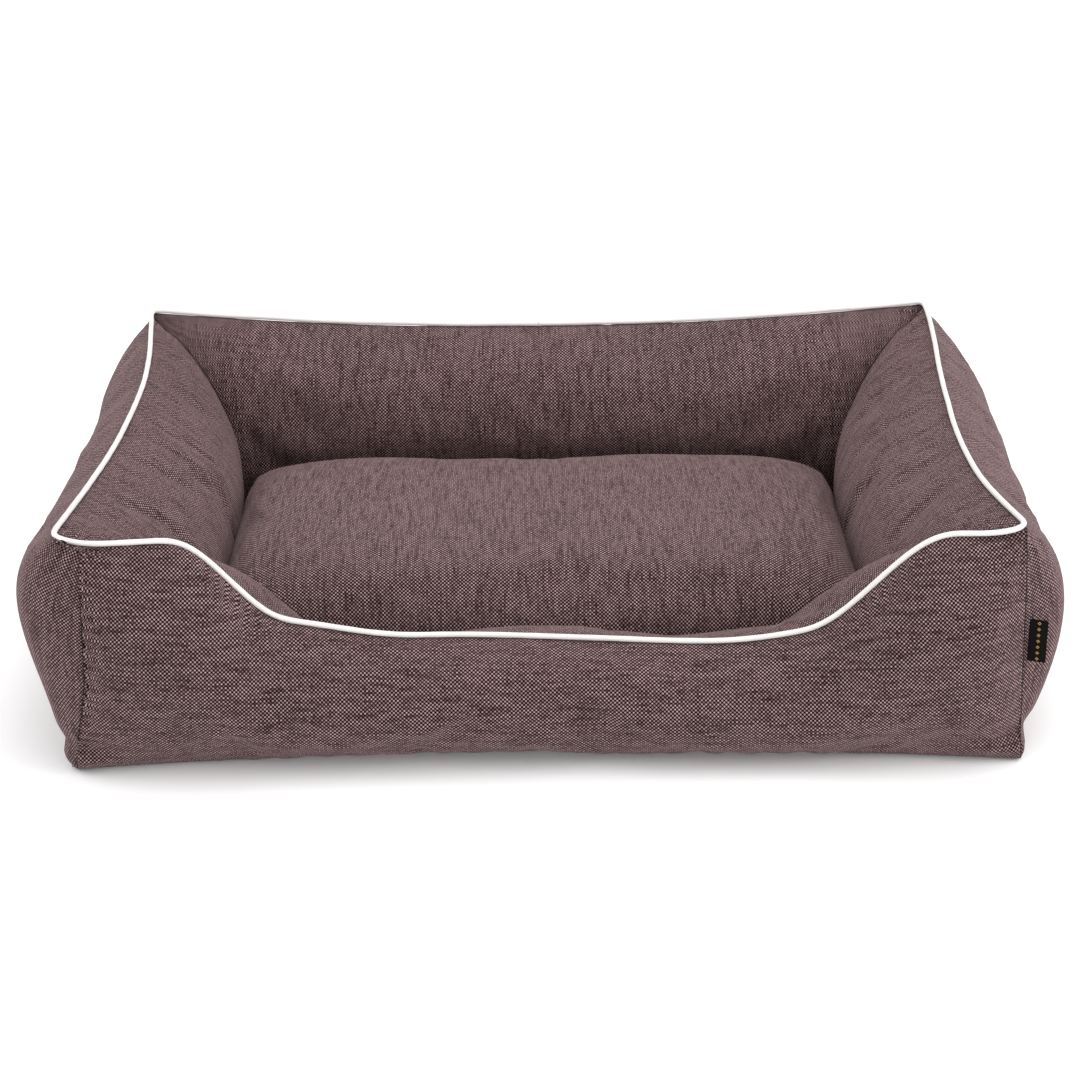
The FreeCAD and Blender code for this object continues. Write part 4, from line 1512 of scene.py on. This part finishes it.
@dataclass
class Mattress:
    """The loose cushion: two panels sewn edge to edge round a fibre filling."""

    low: np.ndarray
    high: np.ndarray
    cell: float = 5 * MM
    cloth: float = 1.2 * MM
    crown: float = 5 * MM
    plump_across: float = 12.0
    plump_deep: float = 9.0
    edge_power: float = 0.35
    slope_across: float = 0.1
    slope_deep: float = 0.34
    spread: float = 7 * MM
    corner_cut: float = 0.02
    flat_gain: float = 1.35
    flat_give: float = 0.02
    lumps: float = 2.2 * MM
    lump_size: float = 0.2
    lumps_below: float = 0.1
    held_within: float = 40 * MM
    fibre_least: float = 2 * MM
    finish: Finish = HopsackCloth()
    stuffing: Stuffing = Stuffing(pressure=2.0, cap=6 * MM, spare_cloth=0.01)
    seam: SeamDressing = SeamDressing()

    def surface(self, up: float, alpha: np.ndarray, beta: np.ndarray) -> np.ndarray:
        """One half of the cushion.

        The plan is a rectangle whose corners are rounded off; the height over the seam is the
        product of two roots, each 1 at the middle and 0 at the edge, and slopes off towards the
        edges. The bottom is the same shape pressed nearly flat.

        Args:
            up: 1 for the top, -1 for the bottom.
            alpha: angle from -90 to 90 degrees across.
            beta: the same from front to back.

        Returns:
            Places, with x, y and z in the last axis.
        """
        middle = (self.low + self.high) / 2
        reach = (self.high - self.low) / 2 + np.array([self.spread, 0, 0])
        across, deep = np.sin(alpha), np.sin(beta)
        both = (across * deep) ** 2
        corner = 1 - self.corner_cut * both ** 5
        rise = (np.clip(1 - np.abs(across) ** self.plump_across, 0, 1)
                * np.clip(1 - np.abs(deep) ** self.plump_deep, 0, 1)) ** self.edge_power
        rise = rise * (1 - self.slope_across * across ** 4) * (1 - self.slope_deep * np.abs(deep) ** 3)
        top = reach[2] + (self.crown if up > 0 else 0.0)
        if up < 0:
            rise = np.minimum(rise * self.flat_gain, 1 - self.flat_give * (1 - rise))
        spots = np.stack([reach[0] * across * corner, reach[1] * deep * corner, up * top * rise],
                         axis=-1)
        return middle + spots

    def panel(self, up: float) -> np.ndarray:
        """Make the top or the bottom panel.

        Args:
            up: 1 for the top, -1 for the bottom.

        Returns:
            The grid of its places.
        """
        word = "top" if up > 0 else "bottom"
        size = self.high - self.low
        rows, columns = (int(size[i] * 1.1 / self.cell) // 8 * 8 + 1 for i in (0, 1))
        alpha, beta = np.meshgrid(np.linspace(-0.5, 0.5, rows) * math.pi,
                                  np.linspace(-0.5, 0.5, columns) * math.pi, indexing="ij")
        smooth = self.surface(up, alpha, beta)
        if up > 0:
            smooth = smooth + finer(self.stuffing.press(smooth[::2, ::2]))
        run, deep = lengths_along(smooth, 0), lengths_along(smooth, 1)
        to_side = np.minimum(run, run[-1:] - run)
        to_end = np.minimum(deep, deep[:, -1:] - deep)
        outwards = -up * grid_normals(smooth)
        seed = 61 if up > 0 else 67
        sunk = self.seam.depth(to_side, deep, seed) + self.seam.depth(to_end, run, seed + 2)
        held = np.clip(np.minimum(to_side, to_end) / self.held_within, 0, 1)
        share = 1 if up > 0 else self.lumps_below
        lumps = self.lumps * cloud(seed + 5, smooth, self.lump_size) * held * share
        points = smooth + outwards * (lumps - sunk * held ** 0.2)[..., None]
        points[..., 2] = np.maximum(points[..., 2], self.low[2])
        middle_row, middle_column = len(run) // 2, run.shape[1] // 2
        plan = np.stack([deep - deep[:, middle_column][:, None], run - run[middle_row][None, :]],
                        axis=-1)
        weave = flattened(points, plan)
        faces = grid_faces(rows, columns)
        if up > 0:
            faces = faces[:, ::-1]
        node = f"mattress_{word}_panel"
        piece = make_object("cloth_" + node, points.reshape(-1, 3), faces, self.finish,
                            weave.reshape(-1, 2))
        thicken(piece, self.cloth)
        settle(piece, "mattress", "hopsack_cloth", node)
        return points

    def build(self) -> None:
        """Make the panels and the filling."""
        top = self.panel(1.0)
        bottom = self.panel(-1.0)
        upper = (top + grid_normals(top) * FIBRE_GAP)[THINNED, THINNED]
        lower = (bottom - grid_normals(bottom) * FIBRE_GAP)[THINNED, THINNED]
        upper[..., 2] = np.maximum(upper[..., 2], lower[..., 2] + self.fibre_least)
        rows, columns = upper.shape[:2]
        count = rows * columns
        points = np.concatenate([upper.reshape(-1, 3), lower.reshape(-1, 3)])
        index = np.arange(count).reshape(rows, columns)
        rim = np.concatenate([index[0, :-1], index[:-1, -1], index[-1, :0:-1], index[:0:-1, 0]])
        ahead = np.roll(rim, -1)
        band = np.stack([rim, ahead, ahead + count, rim + count], axis=-1)
        sheets = grid_faces(rows, columns)
        faces = np.concatenate([sheets[:, ::-1], sheets + count, band])
        piece = make_object("fibre_mattress", points, faces, FibreFill())
        settle(piece, "mattress", "fibre_fill", "mattress_fill")


# ------------------------------------------------------------------ base, lining, zips and label

@dataclass
class Underside:
    """The black non-slip cloth under the whole bed, with its printed dots, and the lining over it."""

    front_bow: float = 22 * MM
    side_bow: float = 12 * MM
    back_bow: float = 18 * MM
    tuck: float = -5 * MM
    dot_pitch: float = 14 * MM
    dot_radius: float = 2.1 * MM
    dot_height: float = 0.6 * MM
    dot_sides: int = 8
    base_top: float = 1.9 * MM
    base_grid: tuple[int, int] = (121, 85)
    lining_top: float = 3.5 * MM
    lining_grid: tuple[int, int] = (91, 60)
    slit_half: float = 5.6 * MM

    def outline(self, across: np.ndarray, deep: np.ndarray) -> np.ndarray:
        """Plan of the base: a rectangle whose edges bow inwards between its corners.

        Args:
            across: from -1 at the left to 1 at the right.
            deep: from -1 at the front to 1 at the back.

        Returns:
            Places with z at 0.
        """
        low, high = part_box("nonslip_base")
        x = across * (high.x - self.tuck - self.side_bow * (1 - deep ** 2))
        bow = 1 - across ** 2
        front = low.y + self.tuck + self.front_bow * bow
        back = high.y - self.tuck - self.back_bow * bow
        y = front + (back - front) * (deep + 1) / 2
        return np.stack([x, y, np.zeros_like(x)], axis=-1)

    def base(self) -> None:
        """Make the base cloth and its dots."""
        rows, columns = self.base_grid
        across, deep = np.meshgrid(np.linspace(-1, 1, rows), np.linspace(-1, 1, columns), indexing="ij")
        points = self.outline(across, deep)
        edge = (1 - np.maximum(np.abs(across), np.abs(deep))) * 0.3
        sag = 0.35 * MM * (1 + cloud(83, points, 0.09)) * np.clip(edge / 0.02, 0, 1)
        points[..., 2] = self.base_top - sag
        piece = make_object("base_cloth", points.reshape(-1, 3), grid_faces(rows, columns)[:, ::-1],
                            PlainWeave("nonslip_base_cloth", "1b1b1d", "0b0b0c", 0.9 * MM, 0.05),
                            points.reshape(-1, 3)[:, :2])
        thicken(piece, 0.6 * MM)
        settle(piece, "surround", "nonslip_sheet", "nonslip_base")
        self.dots()

    def dots(self) -> None:
        """Make the grip dots: shallow domes in staggered rows under the base."""
        low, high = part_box("nonslip_base")
        columns = int((high.x - low.x) / self.dot_pitch)
        rows = int((high.y - low.y) / self.dot_pitch)
        column, row = np.meshgrid(np.arange(columns), np.arange(rows), indexing="ij")
        across = (column + 0.5 + 0.5 * (row % 2) - columns / 2) / (columns / 2)
        deep = (row + 0.5 - rows / 2) / (rows / 2)
        keep = np.abs(across) < 0.99
        middles = self.outline(across[keep], deep[keep])
        sides = self.dot_sides
        angle = np.arange(sides) * 2 * math.pi / sides
        ring = np.stack([np.cos(angle), np.sin(angle), np.zeros(sides)], axis=-1)
        top, waist = self.dot_height + 0.4 * MM, self.dot_height * 0.45
        levels = [ring * self.dot_radius + [0, 0, top], ring * self.dot_radius * 0.85 + [0, 0, waist],
                  ring * self.dot_radius * 0.4 + [0, 0, 0.02 * MM]]
        shape = np.concatenate(levels)
        quads = grid_faces(3, sides, wrap=True)
        lid = np.array([[0, 1, 2, 3], [0, 3, 4, 7], [4, 5, 6, 7]])
        faces = np.concatenate([quads, (lid + 2 * sides)[:, ::-1], lid])
        points = (middles[:, None] + shape[None]).reshape(-1, 3)
        all_faces = (faces[None] + (np.arange(len(middles)) * len(shape))[:, None, None]).reshape(-1, 4)
        piece = make_object("grip_dots", points, all_faces, MouldedGrip())
        settle(piece, "surround", "nonslip_sheet")

    def lining(self) -> None:
        """Make the lining under the mattress, with the slit for the cover's zip."""
        low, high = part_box("floor_panel")
        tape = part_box("cover_zip_tape_a")[0]
        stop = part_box("cover_zip_tape_b")[1]
        middle, half = (tape.y + stop.y) / 2, stop.x
        rows, columns = self.lining_grid
        slit = [middle - self.slit_half, middle + self.slit_half]
        xs = np.unique(np.concatenate([np.linspace(low.x, high.x, rows), [-half, half]]))
        ys = np.unique(np.concatenate([np.linspace(low.y, high.y, columns), slit]))
        x, y = np.meshgrid(xs, ys, indexing="ij")
        points = np.stack([x, y, np.full_like(x, self.lining_top)], axis=-1)
        cells = grid_faces(len(xs), len(ys))[:, ::-1]
        spots = points.reshape(-1, 3)[cells].mean(axis=1)
        open_cell = (np.abs(spots[:, 0]) < half) & (np.abs(spots[:, 1] - middle) < self.slit_half)
        piece = make_object("lining_sheet", points.reshape(-1, 3), cells[~open_cell],
                            PlainWeave("plain_woven_lining", "2b2224", "1a1415", 0.8 * MM, 0.15),
                            points.reshape(-1, 3)[:, :2])
        thicken(piece, 1.0 * MM)
        settle(piece, "surround", "lining_cloth", "floor_panel")

    def build(self) -> None:
        """Make the base and the lining."""
        self.base()
        self.lining()


@dataclass
class Zip:
    """One coil zip: two woven tapes, two coils of nylon wire, with the CAD's metal parts dressed.

    The coil is a helix whose wire runs out over the zip's middle line and back to its tape, as
    a flattened circle with one turn for each tooth.
    """

    name: str
    body: str
    upright: bool
    pitch: float = 1.6 * MM
    wire: float = 0.34 * MM
    sides: int = 5
    steps: int = 8
    tape_grid: tuple[int, int] = (241, 9)

    def coil(self, letter: str) -> None:
        """Make one side's coil inside its CAD box.

        Args:
            letter: a or b; b's turns lie between a's.
        """
        node = f"{self.name}_zip_coil_{letter}"
        low, high = (np.array(corner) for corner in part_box(node))
        size = (high - low) / 2 - self.wire
        centre = (low + high) / 2
        turns = int((high[0] - low[0] - 2 * self.wire) / self.pitch)
        angle = np.arange(turns * self.steps + 1) * 2 * math.pi / self.steps
        if letter == "b":
            angle = angle + math.pi
        run = np.linspace(low[0] + self.wire, high[0] - self.wire, len(angle))
        over = centre[1] + size[1] * np.cos(angle)
        path = np.stack([run, over, centre[2] + size[2] * np.sin(angle)], axis=-1)
        rings = tube_grid(path, np.full(len(path), self.wire), self.sides, (1, 0, 0))
        piece = make_object(f"{self.name}_coil_{letter}", rings.reshape(-1, 3),
                            grid_faces(len(path), self.sides, wrap=True), NylonCoil())
        close_ends(piece, self.sides, len(path))
        settle(piece, self.body, "zip_coil", node)

    def tape(self, letter: str) -> None:
        """Make one side's tape: a thin flat woven strip.

        Args:
            letter: a or b.
        """
        node = f"{self.name}_zip_tape_{letter}"
        low, high = (np.array(corner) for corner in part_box(node))
        rows, columns = self.tape_grid
        run, wide = np.meshgrid(np.linspace(low[0], high[0], rows), np.linspace(0, 1, columns),
                                indexing="ij")
        flat, deep = (2, 1) if self.upright else (1, 2)
        points = np.zeros(run.shape + (3,))
        points[..., 0] = run
        points[..., flat] = low[flat] + (high[flat] - low[flat]) * wide
        points[..., deep] = high[deep]
        weave = np.stack([run, points[..., flat]], axis=-1)
        faces = grid_faces(rows, columns)
        if not self.upright:
            faces = faces[:, ::-1]
        piece = make_object(f"{self.name}_tape_{letter}", points.reshape(-1, 3), faces,
                            PlainWeave("zip_tape_weave", "3a2a29", "211716", 0.6 * MM, 0.1),
                            weave.reshape(-1, 2))
        thicken(piece, high[deep] - low[deep])
        settle(piece, self.body, "zip_tape", node)

    def metal(self) -> None:
        """Give the metal parts their lacquer."""
        for part in ("stops", "slider", "pull"):
            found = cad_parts.get(f"{self.name}_zip_{part}")
            if found:
                for holder in found.material_slots:
                    holder.material = LacqueredZinc().build()

    def build(self) -> None:
        """Make both sides and dress the metal."""
        for letter in ("a", "b"):
            self.tape(letter)
            self.coil(letter)
        self.metal()


@dataclass
class Label:
    """The folded woven tab in the right front corner seam.

    Its section is a long loop: out from the seam, round a small fold and back. The loop bends
    a little as it goes out and opens slightly at its middle.
    """

    root: tuple[float, float] = (448.5 * MM, -345.5 * MM)
    root_gap: float = 1.0 * MM
    heading: float = -20.0
    reach: float = 18 * MM
    cloth: float = 0.4 * MM
    gap: float = 0.9 * MM
    bend: float = 0.3 * MM
    opening: float = 0.25
    margin: float = 0.4 * MM
    side_points: int = 22
    fold_points: int = 12
    height_points: int = 34

    def build(self) -> None:
        """Make the loop as one thin sheet."""
        low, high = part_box("label_tab")
        side = np.linspace(0, 1, self.side_points)
        fold = np.linspace(0, math.pi, self.fold_points)[1:-1]
        half = self.gap / 2
        length = self.reach - half - self.root_gap
        bent = self.bend * np.sin(math.pi * side)
        front = np.stack([side * length, -half - bent], axis=-1)
        back = np.stack([side[::-1] * length, half + bent], axis=-1)
        turn = np.stack([length + half * np.sin(fold), -half * np.cos(fold)], axis=-1)
        loop = np.concatenate([front, turn, back])
        run = run_of(loop)
        from_middle = np.abs(run - run[-1] / 2) - length / 2
        height = np.linspace(low.z + self.margin, high.z - self.margin, self.height_points)
        angle = math.radians(self.heading)
        out = np.array([math.cos(angle), math.sin(angle), 0])
        aside = np.array([-math.sin(angle), math.cos(angle), 0])
        base = np.array([*self.root, 0])
        spread = 1 + self.opening * np.sin(np.linspace(0, math.pi, self.height_points))
        points = base + out * loop[:, 0, None, None] + aside * (loop[:, 1, None] * spread)[..., None]
        points[..., 2] = height
        middle = (low.z + high.z) / 2
        weave = np.stack(np.broadcast_arrays(from_middle[:, None], (height - middle)[None, :]), axis=-1)
        piece = make_object("folded_tab", points.reshape(-1, 3),
                            grid_faces(len(loop), self.height_points)[:, ::-1], SatinLabel(),
                            weave.reshape(-1, 2))
        thicken(piece, self.cloth)
        settle(piece, "label", "label_weave", "label_tab")


@dataclass
class SeamShadeLine:
    """A near-black thread-shaped line along each corner seam: painted shade that stands in for the shade
    in the seam's crease.
    """

    walls: dict[str, Bolster]
    radius: float = 0.45 * MM
    radius_swing: float = 0.1 * MM
    span: tuple[float, float] = (0.015, 0.985)
    places: int = 140
    sides: int = 6

    def build(self) -> None:
        """Make the lines of painted crease shade along each upright corner seam, on the edges of its
        panels.
        """
        climb = np.linspace(*self.span, self.places)
        turn = np.full_like(climb, math.pi / 2)
        radius = self.radius + self.radius_swing * np.cos(np.arange(self.places) * math.pi)
        for name, wall in self.walls.items():
            for face in Face:
                path = wall.surface(face, turn, climb)
                rings = tube_grid(path, radius, self.sides, wall.along)
                # painted shade: a near-black line along the seam stands in for the shade in its crease
                piece = make_object(f"seam_shade_{face.value}_{name}", rings.reshape(-1, 3),
                                    grid_faces(self.places, self.sides, wrap=True),
                                    PlainWeave("seam_crease_shade_line", "1d1012", "0d0708", 0.5 * MM, 0.1),
                                    rings.reshape(-1, 3)[:, [0, 2]])
                close_ends(piece, self.sides, self.places)
                settle(piece, "surround", "hopsack_cloth")


# ------------------------------------------------------------------ studio

@dataclass(frozen=True)
class SoftBox:
    """One square soft light that looks at a point: metres and watts."""

    name: str
    place: tuple[float, float, float]
    aim: tuple[float, float, float]
    size: float
    power: float

    def build(self) -> None:
        """Make the light and link it into the scene."""
        light = bpy.data.lights.new(self.name, "AREA")
        light.size = self.size
        light.energy = self.power
        lamp = bpy.data.objects.new(self.name, light)
        lamp.location = self.place
        heading = Vector(self.aim) - Vector(self.place)
        lamp.rotation_euler = heading.to_track_quat("-Z", "Y").to_euler()
        bpy.context.scene.collection.objects.link(lamp)


@dataclass(frozen=True)
class Studio:
    """A plain white sweep, broad soft lights and the camera."""

    floor_half: float = 12.0
    air: float = 1.0
    boxes: tuple[SoftBox, ...] = (
        SoftBox("soft_box_top", (0.25, -0.1, 2.4), (0.1, 0.0, 0.0), 2.2, 20),
        SoftBox("soft_box_right", (2.5, -1.1, 1.3), (0.2, -0.1, 0.1), 1.4, 25),
        SoftBox("soft_box_left", (-2.6, 0.1, 1.5), (-0.2, 0.0, 0.1), 1.4, 10),
    )
    camera_back: float = 2325 * MM
    camera_height: float = 1114.6 * MM
    pitch: float = 23.95
    roll: float = 0.65
    lens: float = 80.0
    sensor: float = 36.0

    def build(self) -> None:
        """Make the floor, the lights and the camera."""
        size = self.floor_half
        corners = np.array([[-size, -size, 0], [size, -size, 0], [size, size, 0], [-size, size, 0]])
        floor = make_object("studio_floor", corners, np.array([[0, 1, 2, 3]]), StudioFloor())
        world = bpy.data.worlds.new("studio_air")
        world.use_nodes = True
        air = world.node_tree.nodes["Background"]
        air.inputs[0].default_value = (1.0, 1.0, 1.0, 1.0)
        air.inputs[1].default_value = self.air
        bpy.context.scene.world = world
        for box in self.boxes:
            box.build()
        bpy.context.scene.view_settings.view_transform = "Standard"
        self.camera()

    def camera(self) -> None:
        """Make the camera: it looks down by its pitch and leans by its roll."""
        lens = bpy.data.cameras.new("camera")
        lens.lens = self.lens
        lens.sensor_width = self.sensor
        camera = bpy.data.objects.new("camera", lens)
        tilt = math.radians(90 - self.pitch)
        lean = math.radians(self.roll)
        upwards = np.array([0, math.cos(tilt), math.sin(tilt)])
        right = np.array([math.cos(lean), 0, 0]) - math.sin(lean) * upwards
        ahead = np.array([0, math.sin(tilt), -math.cos(tilt)])
        above = np.cross(right, ahead)
        camera.matrix_world = Matrix((
            (right[0], above[0], -ahead[0], 0.0),
            (right[1], above[1], -ahead[1], -self.camera_back),
            (right[2], above[2], -ahead[2], self.camera_height),
            (0, 0, 0, 1),
        ))
        bpy.context.scene.collection.objects.link(camera)
        bpy.context.scene.camera = camera


def main() -> None:
    """Build every sub-assembly in order, the mattress between its two panels' boxes."""
    logging.basicConfig(level=logging.INFO, format="%(message)s")
    Studio().build()
    ring = RingShape()
    walls = ring.bolsters()
    for wall in walls.values():
        BolsterCover(wall).build()
    Piping(ring, walls).build()
    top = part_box("mattress_top_panel")[1]
    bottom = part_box("mattress_bottom_panel")[0]
    Mattress(np.array(bottom), np.array(top)).build()
    Underside().build()
    Zip("cover", "surround", False).build()
    Zip("mattress", "mattress", True).build()
    Label().build()
    SeamShadeLine(walls).build()


if __name__ == "__main__":
    main()
